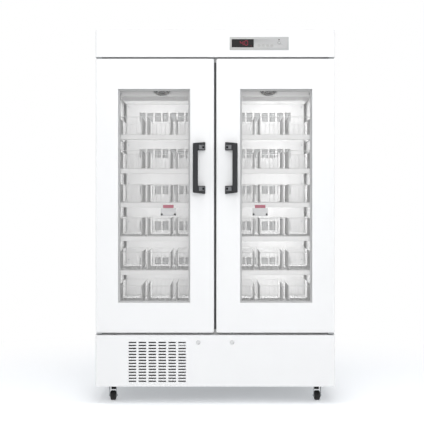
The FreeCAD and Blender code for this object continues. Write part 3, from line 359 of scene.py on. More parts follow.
caster_trail, crown = 0.018, 0.0917
spoke_count = 5
for end in ("front", "rear"):
    for side in SIDES:
        caster, wheel = f"{end}_{side}_caster", f"{end}_{side}_wheel"
        axle = sum(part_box(f"{caster}_wheel"), Vector()) / 2
        x, pin_y = axle.x, axle.y - caster_trail
        # top race with its rolled edge, the crown under it and the kingpin with its nut above the pad
        turned("-7 0, -7 18, -6 20.5, -4 21, -2.5 19.6, -1.5 21, 0 20.5, 0 6, 4.6 6, 4.6 9.8, 5.2 10, 10 10,"
            "10.6 9.4, 10.6 0", (x, pin_y, crown))
        for near in (-1, 1):
            inner, outer = x + near * 0.0168, x + near * 0.0193
            plate("-35.8 60.7, -35.2 52.7, -9.2 2, -6.6 -6.2, 0 -8.8, 6.6 -6.2, 9 0, 8.6 12, 0.6 50.7,"
                "0 60.7", "X", min(inner, outer), max(inner, outer), (axle.y, axle.z))
            # axle head and washer on the outside of the leg
            turned("0 0, 0 6.2, 0.8 6.2, 0.8 5, 2.6 4.6, 3 3, 3 0", (outer, axle.y, axle.z), "X", 18,
                out=near)
        turned("-16.8 0, -16.8 3.88, 16.8 3.88, 16.8 0", axle, "X", 18)
        plate("-17.8 -6, -17.4 -13, 18 -13, 18 -6", "X", x - 0.0172, x + 0.0172, (pin_y, crown))
        fitted(f"{caster}_pressed_fork", zinc_plate, caster, f"{caster}_fork", slot="caster_zinc")
        # two-shot wheel: a crowned tread with side grooves over a hub with a recessed web
        turned("-14.9 16.5, -13.7 20.8, -11.4 23.2, -7.4 24.7, -2.4 25, -1.8 23.8, 1.8 23.8, 2.4 25,"
            "7.4 24.7, 11.4 23.2, 13.7 20.8, 14.9 16.5, 14.9 15.8, -14.9 15.8", axle, "X", 40, True)
        fitted(f"{caster}_tread", tread_rubber, wheel, f"{caster}_wheel", slot="wheel_rubber")
        turned("-14.9 4.2, -14.9 7.5, -10.4 8.5, -10.4 13.5, -14.6 14.5, -14.6 15.7, 14.6 15.7, 14.6 14.5,"
            "10.4 13.5, 10.4 8.5, 14.9 7.5, 14.9 4.2", axle, "X", 40, True)
        for k in range(spoke_count):
            moved(Matrix.Translation(axle) @ Matrix.Rotation(2 * math.pi * k / spoke_count, 4, "X"),
                lambda: bar((-0.0137, -0.0011, 0.0080), (0.0137, 0.0011, 0.0142)))
        fitted(f"{caster}_hub", hub_nylon, wheel)
        if end == "front":
            plate("16.5 -18, 16.5 -13, 30 -16, 42 -27, 46 -40, 43.5 -40.5, 39.5 -29, 29 -20", "X",
                x - 0.0125, x + 0.0125, (pin_y, crown))
            bmesh.ops.bevel(form, geom=list(form.edges), offset=0.0008, segments=2, affect="EDGES")
            fitted(f"{caster}_brake_pedal", tread_rubber, caster)


# Outer case: side panels, top, back, and the two fascias above and below the doors, all of folded steel
# sheet with a white polyester powder coat, whose faint orange peel softens what it reflects.
# drawn coarser than the real 2 mm peel, so that it shows at the render's size
powder_coat = finish("white polyester powder coat on steel", "F1F1F1", 0.38, "EDEDED", 0.35,
    (0.008, 0.00012), Coat_Weight=0.12, Coat_Roughness=0.25)
dress(powder_coat, "left_side_panel", "right_side_panel", "top_panel", "header_panel", "lower_front_panel",
    "back_panel")


# Fixings: zinc-plated pan-head screws hold the top and back sheets to the folded flanges, one pattern of
# rows and columns for each sheet.
def tree_for(name, *inputs):
    """A node tree for a modifier: geometry in and out, and a named input for each size, count or material."""
    tree = bpy.data.node_groups.new(name, "GeometryNodeTree")
    tree.interface.new_socket("Geometry", in_out="INPUT", socket_type="NodeSocketGeometry")
    tree.interface.new_socket("Geometry", in_out="OUTPUT", socket_type="NodeSocketGeometry")
    for label, kind in inputs:
        tree.interface.new_socket(label, in_out="INPUT", socket_type="NodeSocket" + kind)
    return tree, add(tree, "NodeGroupInput").outputs


def plain_mesh(source):
    """The plain mesh that an object comes to with its modifiers or as a curve; the object itself goes."""
    graph = bpy.context.evaluated_depsgraph_get()
    mesh = bpy.data.meshes.new_from_object(source.evaluated_get(graph), depsgraph=graph)
    bpy.data.objects.remove(source)
    return mesh


def grown(name, tree, seed, **values):
    """Runs a tree on a seed mesh with its inputs set by name, and keeps the result as a plain mesh."""
    source = put(name, seed)
    modifier = source.modifiers.new("form", "NODES")
    modifier.node_group = tree
    for item in tree.interface.items_tree:
        label = item.name.lower().replace(" ", "_")
        if item.in_out == "INPUT" and label in values:
            modifier[item.identifier] = values[label]
    return plain_mesh(source)


repeat_tree, given = tree_for("rows and columns", ("Columns", "Int"), ("Column step", "Vector"),
    ("Rows", "Int"), ("Row step", "Vector"), ("Material", "Material"))
repeats = given["Geometry"]
for word in ("Row", "Column"):
    line = add(repeat_tree, "MeshLine", Count=given[word + "s"], Offset=given[word + " step"])
    repeats = add(repeat_tree, "InstanceOnPoints", Points=line, Instance=repeats)
realised = add(repeat_tree, "RealizeInstances", Geometry=repeats)
painted = add(repeat_tree, "SetMaterial", Geometry=realised, Material=given["Material"])
add(repeat_tree, "NodeGroupOutput", Geometry=painted)


def repeated(name, material, columns, column_step, rows=1, row_step=(0, 0, 0), body="cabinet", *nodes,
        slot=None):
    """One small form, built at its first place, repeated in columns and rows."""
    mesh = grown(name, repeat_tree, built(name + "_seed"), columns=columns, column_step=column_step,
        rows=rows, row_step=row_step, material=material)
    fitted(name, None, body, *nodes, slot=slot, mesh=mesh)


def screw(place, axis, out, size):
    """A pan head with a recess, size its radius, on a face that looks along the axis, out 1 or -1."""
    head = ((0.25, 1), (0.50, 0.85), (0.58, 0.62), (0.58, 0.42), (0.18, 0.36), (0.18, 0))
    turned([(-0.0006, 0), (-0.0006, size)] + [(a * size, r * size) for a, r in head], place, axis, 12,
        out=out)


def screw_rows(name, place, axis, out, size, columns, column_step, rows=1, row_step=(0, 0, 0),
        body="cabinet"):
    """Rows of screws of bright zinc."""
    screw(place, axis, out, size)
    repeated(name, screw_zinc, columns, column_step, rows, row_step, body)


screw_zinc = finish("bright zinc-plated screw steel", "AEB2B6", 0.32, "C9CCCF", 0.004, metallic=1.0)
case_low, case_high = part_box("back_panel")
head_size, edge_in, end_in = 0.0045, 0.014, 0.03
for side, x in (("left", case_low.x + edge_in), ("right", case_high.x - edge_in)):
    screw_rows(f"back_screws_{side}", (x, case_high.y, case_low.z + end_in), "Y", 1, head_size, 10,
        (0, 0, (case_high.z - case_low.z - 2 * end_in) / 9))
screw_rows("back_screws_top", (case_low.x + 0.2, case_high.y, case_high.z - edge_in), "Y", 1, head_size, 4,
    ((case_high.x - case_low.x - 0.4) / 3, 0, 0))
low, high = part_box("top_panel")
screw_rows("top_screws", (low.x + edge_in, low.y + end_in, high.z - 0.0022), "Z", 1, head_size,
    2, (high.x - low.x - 2 * edge_in, 0, 0), 4, (0, (high.y - low.y - 2 * end_in) / 3, 0))


# Insulated box: polyurethane foamed between the case and a liner of white coated aluminium, with a moulded
# mullion between the two door openings that both doors' gaskets close on.
foam_cells = finish("rigid polyurethane foam", "D9CE9F", 0.9, "C8BA84", grain=(0.003, 0.0006),
    pattern=(0.003, (1, 1, 1)))
# a smooth white coat, glossier than the case outside, so that it can be wiped clean
liner_coat = finish("white coated aluminium liner", "F0F0F0", 0.4, "E9E9E9", 0.25, (0.012, 0.00008))
moulded_white = finish("moulded white polystyrene", "ECEEEE", 0.42, "E5E7E8", 0.1, (0.006, 0.00008))
dress(foam_cells, "insulation_foam")
dress(liner_coat, "inner_liner")
softened("centre_mullion", 0.003, 3, moulded_white, "cabinet", "liner_white_plastic")
# between the two doors' gaskets a grey strip lies on the mullion and runs on to the ends of the gaskets; its
# grey is painted shade, which darkens the gap between the doors
gap_shade_vinyl = finish("extruded grey PVC strip", "767779", 0.6, "7D7E80", 0.05)
strip_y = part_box("centre_mullion")[0].y
strip_low, strip_high = (corner.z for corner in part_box("right_door_gasket"))
bar((-0.014, strip_y - 0.0015, strip_low), (0.014, strip_y + 0.0015, strip_high), 0.001, 2)
fitted("mullion_strip", gap_shade_vinyl)


# Mains gland: a black nylon sleeve low in the back, with a hexagon nut outside that the cord would be
# clamped by; the cord itself isn't shown.
low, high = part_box("mains_gland")
gland = ((low.x + high.x) / 2, high.y, (low.z + high.z) / 2)
turned("-22 4.5, -22 11, -21 11.8, -5 11.8, -5 15.8, -2.4 15.8, -2.4 11.8, 0 11.2, 0 4.5", gland, "Y", 36,
    True)
turned("-1 11.9, -1 15, 3 15, 3.6 14.2, 3.6 11.9", gland, "Y", 6, True)
fitted("mains_gland_nut_and_sleeve", black_nylon, "cabinet", "mains_gland", slot="black_plastic")


# Cooling unit: a finned condenser behind the grille, a fan that draws air through it, and a compressor of
# deep-drawn steel in black enamel with its pipes of copper.
fin_stock = finish("rolled aluminium fin stock", "B9BDC0", 0.4, "D2D5D7", pattern=(0.004, (1, 1, 12)),
    metallic=0.9)
copper = finish("drawn copper tube", "B9724B", 0.32, "9C5B3B", 0.02, metallic=1.0)
black_enamel = finish("black stoving enamel on steel", "101112", 0.3, "1B1C1E", 0.08, (0.01, 0.0002),
    Coat_Weight=0.4, Coat_Roughness=0.15)


def pipe(name, points, radius):
    """A copper tube along a smooth curve through a few points."""
    curve = bpy.data.curves.new(name, "CURVE")
    curve.dimensions = "3D"
    curve.bevel_depth = radius
    curve.bevel_resolution = 4
    curve.use_fill_caps = True
    spline = curve.splines.new("NURBS")
    spline.points.add(len(points) - 1)
    for point, place in zip(spline.points, points):
        point.co = (*place, 1)
    spline.order_u = 3
    spline.use_endpoint_u = True
    spline.resolution_u = 6
    fitted(name, copper, mesh=plain_mesh(put(name, curve)))


def finned_coil(name, low, high, pitch, rows, node):
    """Fins across X on rows of copper tube that turn back at each end plate."""
    count = int((high.x - low.x - 0.01) / pitch)
    bar((low.x + 0.006, low.y, low.z), (low.x + 0.0066, high.y, high.z), 0)
    repeated(name + "_fins", fin_stock, count, ((high.x - low.x - 0.0126) / (count - 1), 0, 0), 1, (0, 0, 0),
        "cabinet", node, slot="fin_aluminium")
    for x in (low.x + 0.003, high.x - 0.003):
        bar((x - 0.001, low.y, low.z), (x + 0.001, high.y, high.z))
        for z in (low.z, high.z):
            bar((x - 0.003, low.y, z - 0.001), (x + 0.003, high.y, z + 0.001))
    fitted(name + "_end_plates", galvanised_steel)
    middle, step, tube, sides = (low.y + high.y) / 2, (high.z - low.z) / rows, 0.0048, 12
    for k in range(rows):
        turned([(low.x - 0.002, 0), (low.x - 0.002, tube), (high.x + 0.002, tube), (high.x + 0.002, 0)],
            (0, middle, low.z + step * (k + 0.5)), "X", sides)
    for k in range(rows - 1):
        x, out = (low.x - 0.002, -1) if k % 2 else (high.x + 0.002, 1)
        rings = []
        for a in range(9):
            sine, cosine = math.sin(math.pi * a / 8), math.cos(math.pi * a / 8)
            centre = Vector((x + out * step / 2 * sine * 0.7, middle, low.z + step * (k + 1 - cosine / 2)))
            around = [2 * math.pi * s / sides for s in range(sides)]
            rings.append([form.verts.new(centre + tube * Vector((
                sine * out * math.cos(turn), math.sin(turn), -cosine * math.cos(turn)))) for turn in around])
        joined(rings)
        form.faces.new(rings[0])
        form.faces.new(rings[-1])
    fitted(name + "_tubes", copper)


def fan(name, axis, hub, radius, length, count, chord, pitch):
    """A rotor: a bored hub with a rounded nose, and blades swept from it to the rim, flatter at the tip."""
    low, high, bore = -length / 2, length / 2, 0.0032
    turned([(low, bore), (low, hub * 0.62), (low + 0.0015, hub * 0.84), (low + 0.004, hub * 0.97),
        (low + 0.007, hub), (high, hub), (high, hub - 0.002), (high - 0.003, hub - 0.003),
        (high - 0.003, bore + 0.004), (high, bore + 0.003), (high, bore)], axis, "Y", 36, True)
    root = hub * 0.94
    border = [(i, 0) for i in range(7)] + [(6, j) for j in range(1, 5)]
    border += [(i, 4) for i in range(5, -1, -1)] + [(0, j) for j in range(3, 0, -1)]
    for k in range(count):
        edges = []
        for lift in (-0.0007, 0.0007):
            grid = []
            for i in range(7):
                r = root + (radius - 0.001 - root) * i / 6
                tilt = math.radians(pitch - 14 * i / 6)
                half = chord * (0.42 + 0.10 * math.sin(math.pi * i / 6))
                grid.append([])
                for j in range(5):
                    u = half * (j / 2 - 1)
                    camber = 0.12 * half * (1 - (u / half) ** 2)
                    angle = 2 * math.pi * k / count + u * math.cos(tilt) / max(r, 0.02) + 0.25 * i / 6
                    rise = u * math.sin(tilt) + camber + lift
                    place = Vector((r * math.cos(angle), rise, r * math.sin(angle)))
                    grid[-1].append(form.verts.new(axis + place))
            for i in range(6):
                for j in range(4):
                    form.faces.new([grid[i][j], grid[i][j + 1], grid[i + 1][j + 1], grid[i + 1][j]])
            edges.append([grid[i][j] for i, j in border])
        joined(edges)
    fitted(name + "_rotor", black_nylon, name, name, slot="black_plastic")


def fan_axis(node_name, x, z):
    """A fan's axis, level with the middle of its box; across, an odd number of blades shifts that middle."""
    low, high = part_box(node_name)
    return Vector((x, (low.y + high.y) / 2, z))


condenser_low, condenser_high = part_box("condenser")
# the condenser's node also holds the fan's motor behind the coil
coil_depth = 0.044
finned_coil("condenser_coil", condenser_low + Vector((0.004, 0, 0.002)), Vector((
    condenser_high.x - 0.004, condenser_low.y + coil_depth, condenser_high.z)), 0.0045, 8, "condenser")
axis = fan_axis("condenser_fan", -0.295, 0.229)
turned("-10 0, -10 2.5, 20 2.5, 20 10, 23 31, 26 35, 48 36, 49 34.5, 51 34.5, 52 36, 74 35, 79 30, 79 0",
    axis, "Y", 36)
foot_z = condenser_low.z
bar((axis.x - 0.036, axis.y + 0.032, foot_z), (axis.x + 0.036, axis.y + 0.072, foot_z + 0.002))
for x in (axis.x - 0.030, axis.x + 0.026):
    bar((x, axis.y + 0.034, foot_z), (x + 0.004, axis.y + 0.070, axis.z - 0.018))
fitted("condenser_fan_motor", black_enamel)
fan("condenser_fan", axis, 0.030, 0.095, 0.030, 5, 0.075, 26)

can_low, can_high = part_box("compressor")
can = Vector(((can_low.x + can_high.x) / 2, (can_low.y + can_high.y) / 2, can_low.z))
turned("12 0, 12 66, 18 78, 30 86, 45 88, 112 88, 114.5 92.2, 118.5 92.2, 121 88, 143 88, 158 85.5, 174 77,"
    "188 61, 198 40, 204 18, 205 0", can, "Z", 48)
bar((can.x - 0.036, can_low.y + 0.002, can.z + 0.060), (can.x + 0.036, can.y - 0.084, can.z + 0.108), 0.003)
fitted("compressor_can", black_enamel, "cabinet", "compressor", slot="black_iron")
foot_out = 0.072
corners = [can + Vector((dx * foot_out, dy * foot_out, 0)) for dx in (-1, 1) for dy in (-1, 1)]
for corner in corners:
    turned("0 0, 0 14, 3 14.5, 6 12, 9 14.5, 12 14, 12 0", corner, "Z", 20)
fitted("compressor_rubber_feet", tread_rubber)
for y in (-foot_out, foot_out):
    bar(can + Vector((-0.088, y - 0.014, 0.012)), can + Vector((0.088, y + 0.014, 0.0145)), 0.0006)
for corner in corners:
    screw(corner + Vector((0, 0, 0.0145)), "Z", 1, 0.006)
fitted("compressor_feet_straps", galvanised_steel)
coil_end = Vector((condenser_high.x, condenser_low.y, can.z))
pipe("discharge_pipe", [can + Vector(p) for p in mm("-70 -30 165, -105 -40 190, -150 -60 196")]
    + [Vector((coil_end.x + 0.030, can.y - 0.150, can.z + 0.196))]
    + [coil_end + Vector(p) for p in mm("12 60 200, 10 22 205, -2 22 206")], 0.004)
pipe("suction_pipe", [can + Vector(p) for p in mm(
    "20 70 170, 26 100 200, 30 130 214, 32 175 215, 34 200 222")], 0.006)


# Grille and exhaust: each slot of the lower panel is pressed with a shallow rolled rim, and the slots in the
# back let the warmed air out.
def slot_rims(name, left, low, width, height, face_y, out, proud, material, columns, step, rows, rise):
    """A rolled rim round each of the slots in rows and columns, standing proud of a sheet's face."""
    profile = ((0, 0), (0, 0.7), (0.0006, 1), (0.0014, 0.6), (0.0018, 0))
    mitred(Vector((left, 0, low)), Vector((left + width, 0, low + height)),
        [(-wider, out * proud * share) for wider, share in profile], face_y)
    repeated(name, material, columns, (step, 0, 0), rows, (0, 0, rise))


lower_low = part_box("lower_front_panel")[0]
grille_left, grille_low = -0.4395, 0.1117
slot_width, slot_height = 0.0385, 0.007
grille_step, grille_rise = 0.0504, 0.01515
slot_rims("grille_rims", grille_left, grille_low, slot_width, slot_height, lower_low.y, -1, 0.0009,
    powder_coat, 6, grille_step, 14, grille_rise)
slot_rims("exhaust_rims", -0.33, 0.13, 0.07, 0.008, case_high.y, 1, 0.0009, powder_coat, 5, 0.1, 10, 0.02)
# a fine dust filter of black open mesh stands behind the grille; its black is painted shade, which darkens
# the slots
low = Vector((grille_left - 0.008, lower_low.y + 0.004, grille_low - 0.006))
high = Vector((grille_left + 5 * grille_step + slot_width + 0.008, lower_low.y + 0.0052,
    grille_low + 13 * grille_rise + slot_height + 0.006))
thread_step = 0.0032
bar(low, (low.x + 0.0009, high.y, high.z), 0)
repeated("dust_filter_upright_threads", black_nylon, int((high.x - low.x) / thread_step), (thread_step, 0, 0))
bar(low + Vector((0, -0.0004, 0)), (high.x, low.y + 0.0004, low.z + 0.0009), 0)
repeated("dust_filter_level_threads", black_nylon, int((high.z - low.z) / thread_step), (0, 0, thread_step))


# Air cooler: an aluminium coil in a white sheet housing under the ceiling. Two fans behind round wire guards
# blow through its front, over the shelves.
dress(liner_coat, "evaporator_cover")
coil_low, coil_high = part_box("evaporator")
finned_coil("evaporator_coil", coil_low + Vector((0, 0, 0.004)), coil_high, 0.008, 4, "evaporator")
cover_low, cover_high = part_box("evaporator_cover")

tree, given = tree_for("wire fan guard", ("Rings", "Int"), ("Ring step", "Float"), ("Wire", "Float"),
    ("Spokes", "Int"), ("Material", "Material"))
number = add(tree, "InputIndex")
ring_place = add(tree, "ShaderNodeMath", number, 1.0, operation="ADD")
ring_radius = add(tree, "ShaderNodeMath", ring_place, given["Ring step"], operation="MULTIPLY")
reach = add(tree, "ShaderNodeMath", given["Rings"], given["Ring step"], operation="MULTIPLY")
unit_ring = add(tree, "CurvePrimitiveCircle", Resolution=40, Radius=1.0)
spoke_start, spoke_end = [add(tree, "ShaderNodeCombineXYZ", x) for x in (given["Ring step"], reach)]
spoke = add(tree, "CurvePrimitiveLine", Start=spoke_start, End=spoke_end)
turn_each = add(tree, "ShaderNodeMath", 2 * math.pi, given["Spokes"], operation="DIVIDE")
turn_now = add(tree, "ShaderNodeMath", number, turn_each, operation="MULTIPLY")
turn_about = add(tree, "ShaderNodeCombineXYZ", Z=turn_now)
wires = add(tree, "JoinGeometry")
for count, curve, how in (("Rings", unit_ring, {"Scale": ring_radius}),
        ("Spokes", spoke, {"Rotation": turn_about})):
    places = add(tree, "Points", Count=given[count])
    copies = add(tree, "InstanceOnPoints", Points=places, Instance=curve, **how)
    tree.links.new(copies.outputs[0], wires.inputs[0])
loose = add(tree, "RealizeInstances", Geometry=wires)
wire_section = add(tree, "CurvePrimitiveCircle", Resolution=6, Radius=given["Wire"])
drawn = add(tree, "CurveToMesh", Curve=loose, Profile_Curve=wire_section, Fill_Caps=True)
painted = add(tree, "SetMaterial", Geometry=drawn, Material=given["Material"])
add(tree, "NodeGroupOutput", Geometry=painted)

coated_wire = finish("white epoxy-coated steel wire", "E6E6E6", 0.34, "DCDCDC", 0.05, (0.01, 0.00008),
    Coat_Weight=0.25, Coat_Roughness=0.2)
for side, sign in SIDES.items():
    axis = fan_axis(f"{side}_evaporator_fan", sign * 0.275, 1.632)
    fan(f"{side}_evaporator_fan", axis, 0.018, 0.052, 0.020, 7, 0.034, 32)
    guard = grown("guard", tree, bpy.data.meshes.new("guard_seed"), rings=6, ring_step=0.0098, wire=0.0009,
        spokes=6, material=coated_wire)
    guard.transform(Matrix.Translation((axis.x, cover_low.y - 0.0016, axis.z))
        @ Matrix.Rotation(math.pi / 2, 4, "X"))
    fitted(f"{side}_fan_guard", mesh=guard)
    turned("1 55.7, -1.4 57, -2 59, -1.2 60.6, 0 60.8", (axis.x, cover_low.y, axis.z), "Y", 48, True)
    for k in range(4):
        turn = math.pi / 4 + k * math.pi / 2
        place = (axis.x + 0.0635 * math.cos(turn), cover_low.y, axis.z + 0.0635 * math.sin(turn))
        screw(place, "Y", -1, 0.003)
    fitted(f"{side}_outlet_ring", coated_wire)
screw_rows("cover_screws", (cover_low.x + 0.012, cover_low.y, cover_low.z + 0.012), "Y", -1, 0.0035, 5,
    ((cover_high.x - cover_low.x - 0.024) / 4, 0, 0), 2, (0, 0, cover_high.z - cover_low.z - 0.024))


# Back duct: a white sheet with rows of air slots. Each slot has a grid of thin blades set back in it, which
# spreads the returning air.
dress(liner_coat, "rear_duct_panel")
duct_low, duct_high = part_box("rear_duct_panel")
columns, rows, width, height, step, rise = 20, 5, 0.031, 0.048, 0.819 / 19, 0.204
left, low = -step * (columns - 1) / 2 - width / 2, 0.662
for k in range(1, 5):
    z = low + height * k / 5
    bar((left - 0.001, duct_low.y + 0.003, z - 0.0012),
        (left + width + 0.001, duct_low.y + 0.012, z + 0.0012), 0)
for k in range(1, 4):
    x = left + width * k / 4
    bar((x - 0.0010, duct_low.y + 0.004, low), (x + 0.0010, duct_low.y + 0.011, low + height), 0)
repeated("duct_slot_grids", moulded_white, columns, (step, 0, 0), rows, (0, 0, rise))
slot_rims("duct_slot_rims", left, low, width, height, duct_low.y, -1, 0.0010, liner_coat, columns, step,
    rows, rise)
screw_rows("duct_screws", (duct_low.x + 0.012, duct_low.y, duct_low.z + 0.014), "Y", -1, 0.0035, 2,
    (duct_high.x - duct_low.x - 0.024, 0, 0), 6, (0, 0, (duct_high.z - duct_low.z - 0.028) / 5))


# Shelf runners: C tracks of stainless steel, brushed from front to back, on the liner's walls and on uprights
# beside the mullion, which have punched slots so that a shelf can be set higher or lower.
stainless = finish("brushed stainless steel", "A3A6A8", 0.34, "BDC0C2", pattern=(0.002, (1, 30, 1)),
    metallic=0.95)
dress(stainless, "shelf_runners")
slot_dark = finish("punched slot in shade", "2B2C2E", 0.8, "333537", 0.01)
upright_middle, upright_front, slot_count, slot_rise = 0.0625, -0.2355, 43, 0.025
for side, sign in SIDES.items():
    for x in (sign * upright_middle - 0.0030, sign * upright_middle + 0.0020):
        bar((x - 0.0001, upright_front - 0.0003, 0.470), (x + 0.0011, upright_front + 0.0002, 0.482), 0)
    repeated(f"{side}_upright_slots", slot_dark, 1, (0, 0, 0), slot_count, (0, 0, slot_rise))


# Sliding shelves: each is a folded white tray with a deep front lip, carrying three baskets welded from
# epoxy-coated wire in which blood bags stand in rows. It is built once and set at each of the twelve places.
tree, given = tree_for("row of wire baskets", ("Size", "Vector"), ("Wires across", "Int"),
    ("Wires along", "Int"), ("Wire", "Float"), ("Rim", "Float"), ("Bend", "Float"), ("Baskets", "Int"),
    ("Basket step", "Vector"), ("Material", "Material"), ("Cross material", "Material"))
long_wire = add(tree, "MeshToCurve", given["Geometry"])
cross_wire = add(tree, "Transform", Geometry=long_wire, Rotation=(0, 0, math.pi / 2))
bent = []
for label, end, wire in (("Wires across", (0.47, 0, 0), long_wire),
        ("Wires along", (0, 0.485, 0), cross_wire)):
    places = add(tree, "MeshLine", mode="END_POINTS", Count=given[label], Start_Location=[-v for v in end],
        Offset=end)
    copies = add(tree, "InstanceOnPoints", Points=places, Instance=wire)
    bent.append(add(tree, "RealizeInstances", Geometry=copies))
square = add(tree, "CurvePrimitiveQuadrilateral", Width=1.0, Height=1.0)
lifted = add(tree, "Transform", Geometry=square, Translation=(0, 0, 1))
row = add(tree, "MeshLine", Count=given["Baskets"], Offset=given["Basket step"])
welded = add(tree, "JoinGeometry")
for path, label, sides, coat in ((bent[0], "Wire", 5, "Material"), (lifted, "Rim", 8, "Material"),
        (bent[1], "Wire", 5, "Cross material")):
    scaled = add(tree, "Transform", Geometry=path, Scale=given["Size"])
    rounded = add(tree, "FilletCurve", mode="POLY", Curve=scaled, Count=2, Radius=given["Bend"])
    section = add(tree, "CurvePrimitiveCircle", Resolution=sides, Radius=given[label])
    swept = add(tree, "CurveToMesh", Curve=rounded, Profile_Curve=section, Fill_Caps=True)
    copies = add(tree, "InstanceOnPoints", Points=row, Instance=swept)
    realised = add(tree, "RealizeInstances", Geometry=copies)
    coated = add(tree, "SetMaterial", Geometry=realised, Material=given[coat])
    tree.links.new(coated.outputs[0], welded.inputs[0])
add(tree, "NodeGroupOutput", Geometry=welded)

low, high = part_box("right_shelf_1")
tray_in, tray_out = low.x + 0.006, high.x - 0.006
tray_top, thick, side_in, basket_gap = low.z + 0.025, 0.002, 0.00525, 0.024
basket_wide = (tray_out - tray_in - 2 * side_in - 2 * basket_gap) / 3
basket_step = basket_wide + basket_gap
basket_front, basket_back = low.y + 0.005, high.y - 0.016
wire_radius, rim_radius = 0.0010, 0.0017
# the cross wires' coat is thinner than that of the rims, and drawn grey as painted shade: seen edge-on at the
# baskets' sides and floors they stand in shade
shaded_cross_wire = finish("grey epoxy-coated steel wire", "D2D2D2", 0.4, "C8C8C8", 0.05, (0.01, 0.00008))
wire_seed = bpy.data.meshes.new("bent_wire")
wire_seed.from_pydata([(0, -0.5, 1), (0, -0.5, 0), (0, 0.5, 0), (0, 0.5, 1)], [(0, 1), (1, 2), (2, 3)], [])
baskets = grown("baskets", tree, wire_seed, size=(basket_wide - 2 * rim_radius,
    basket_back - basket_front - 2 * rim_radius, high.z - tray_top - wire_radius - rim_radius),
    wires_across=6, wires_along=32, wire=wire_radius, rim=rim_radius, bend=0.008, baskets=3,
    basket_step=(basket_step, 0, 0), material=coated_wire, cross_material=shaded_cross_wire)
baskets.transform(Matrix.Translation((tray_in + side_in + basket_wide / 2, (basket_front + basket_back) / 2,
    tray_top + wire_radius)))

bar((tray_in, low.y, tray_top - thick), (tray_out, high.y, tray_top))
# front lip: folded down, back and up behind itself, with a rounded nose
lip_low = low.z
plate("0 2, 2 0, 10.5 0, 12 1.5, 12 6, 10.6 6, 10.6 1.6, 2.4 1.6, 1.6 2.4, 1.6 22, 3 23.4, 12 23.4, 12 25,"
    "2.5 25, 0 22.5", "X", low.x, high.x, (low.y, lip_low))
for x in (low.x, high.x - 0.0012):
    bar((x, low.y + 0.001, lip_low + 0.001), (x + 0.0012, low.y + 0.012, tray_top - 0.001))
for x in (tray_in, tray_out - thick):
    bar((x, low.y + 0.012, tray_top - 0.014), (x + thick, high.y, tray_top))
# two stiffening ribs pressed along the tray between the baskets
for k in (1, 2):
    x = tray_in + side_in + k * basket_step - 0.012
    bar((x - 0.004, basket_front + 0.02, tray_top - 0.0005),
        (x + 0.004, basket_back - 0.02, tray_top + 0.0022), 0.002)
tray = shaped("tray", powder_coat)
for x in (tray_in - 0.0058, tray_out):
    bar((x, low.y + 0.012, tray_top - 0.0128), (x + 0.0058, high.y, tray_top - 0.0048), 0.0008)
slides = shaped("slides", stainless)
for side in SIDES:
    for tier in range(1, 7):
        shelf = f"{side}_shelf_{tier}"
        for word, mesh, nodes, slot in (("tray", tray, [], "basket_white"), ("slides", slides, [], None),
                ("wire_baskets", baskets, [shelf], "basket_white")):
            copy = mesh.copy()
            copy.transform(Matrix.Translation(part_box(shelf)[0] - low))
            fitted(f"{shelf}_{word}", None, shelf, *nodes, slot=slot, mesh=copy)


# Doors: a foamed frame skinned in the same white steel, rounded at its edges, round a double pane of clear
# float glass. A grey aluminium spacer holds the panes apart and shows as a line round the window.
def node_of(material, kind):
    """A material's node of one kind."""
    return next(node for node in material.node_tree.nodes if node.bl_idname == "ShaderNode" + kind)


# 4 mm float glass with a clear metal coating; shadow rays pass it, so that the lamps light the shelves
float_glass = finish("clear float glass", "FDFDFD", 0.0, IOR=1.45, Transmission_Weight=1.0)
tree = float_glass.node_tree
glass_clear = add(tree, "BsdfTransparent", Color=colour("FCFCFC"))
glass_mix = add(tree, "MixShader", add(tree, "LightPath").outputs["Is Shadow Ray"],
    node_of(float_glass, "BsdfPrincipled"), glass_clear)
tree.links.new(glass_mix.outputs[0], node_of(float_glass, "OutputMaterial").inputs["Surface"])
anodised_grey = finish("satin anodised aluminium spacer", "D4D5D6", 0.5, "DCDDDE",
    pattern=(0.003, (12, 1, 1)), metallic=0.1)
gasket_vinyl = finish("extruded grey PVC gasket", "37383A", 0.6, "3F4043", 0.05, (0.003, 0.00006))
for side in SIDES:
    door = f"{side}_door"
    dress(powder_coat, f"{door}_frame")
    dress(float_glass, f"{door}_glass")
    dress(stainless, f"{door}_fittings")
    low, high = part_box(f"{door}_glass_spacer")
    # a hollow bar with butyl-filled shoulders and a ribbed inner face
    mitred(low, high, "0 0, 16.5 0, 18 1.5, 18 5.5, 17.4 6.5, 17.4 8.9, 18 9.9, 18 13.9, 16.5 15.4, 0 15.4",
        low.y + 0.0003)
    fitted(f"{door}_spacer_bar", anodised_grey, door, f"{door}_glass_spacer", slot="spacer_grey")
    low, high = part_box(f"{door}_inner_frame")
    mitred(low, high, "0 0, 13 0, 13 6, 11.8 11, 10 13.5, 3 14, 0 14", low.y)
    fitted(f"{door}_glazing_bead", moulded_white, door, f"{door}_inner_frame", slot="liner_white_plastic")
    screw_rows(f"{door}_bead_screws", (low.x + 0.0062, high.y - 0.0003, low.z + 0.05), "Y", 1, 0.0028, 2,
        (high.x - low.x - 0.0124, 0, 0), 6, (0, 0, (high.z - low.z - 0.1) / 5), door)
    low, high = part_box(f"{door}_gasket")
    mitred(low, high, "3.5 0, 13.5 0, 13.5 1.164, 16.5 2.328, 15 3.492, 17 5.044, 16 6.402, 16.5 7.76,"
        "15 9.1, 13 9.7, 4 9.7, 2 9.1, 0.5 7.76, 1 6.402, 0 5.044, 2 3.492, 0.5 2.328, 3.5 1.164", low.y)
    fitted(f"{door}_bellows_gasket", gasket_vinyl, door, f"{door}_gasket", slot="gasket_rubber", sharp=50)


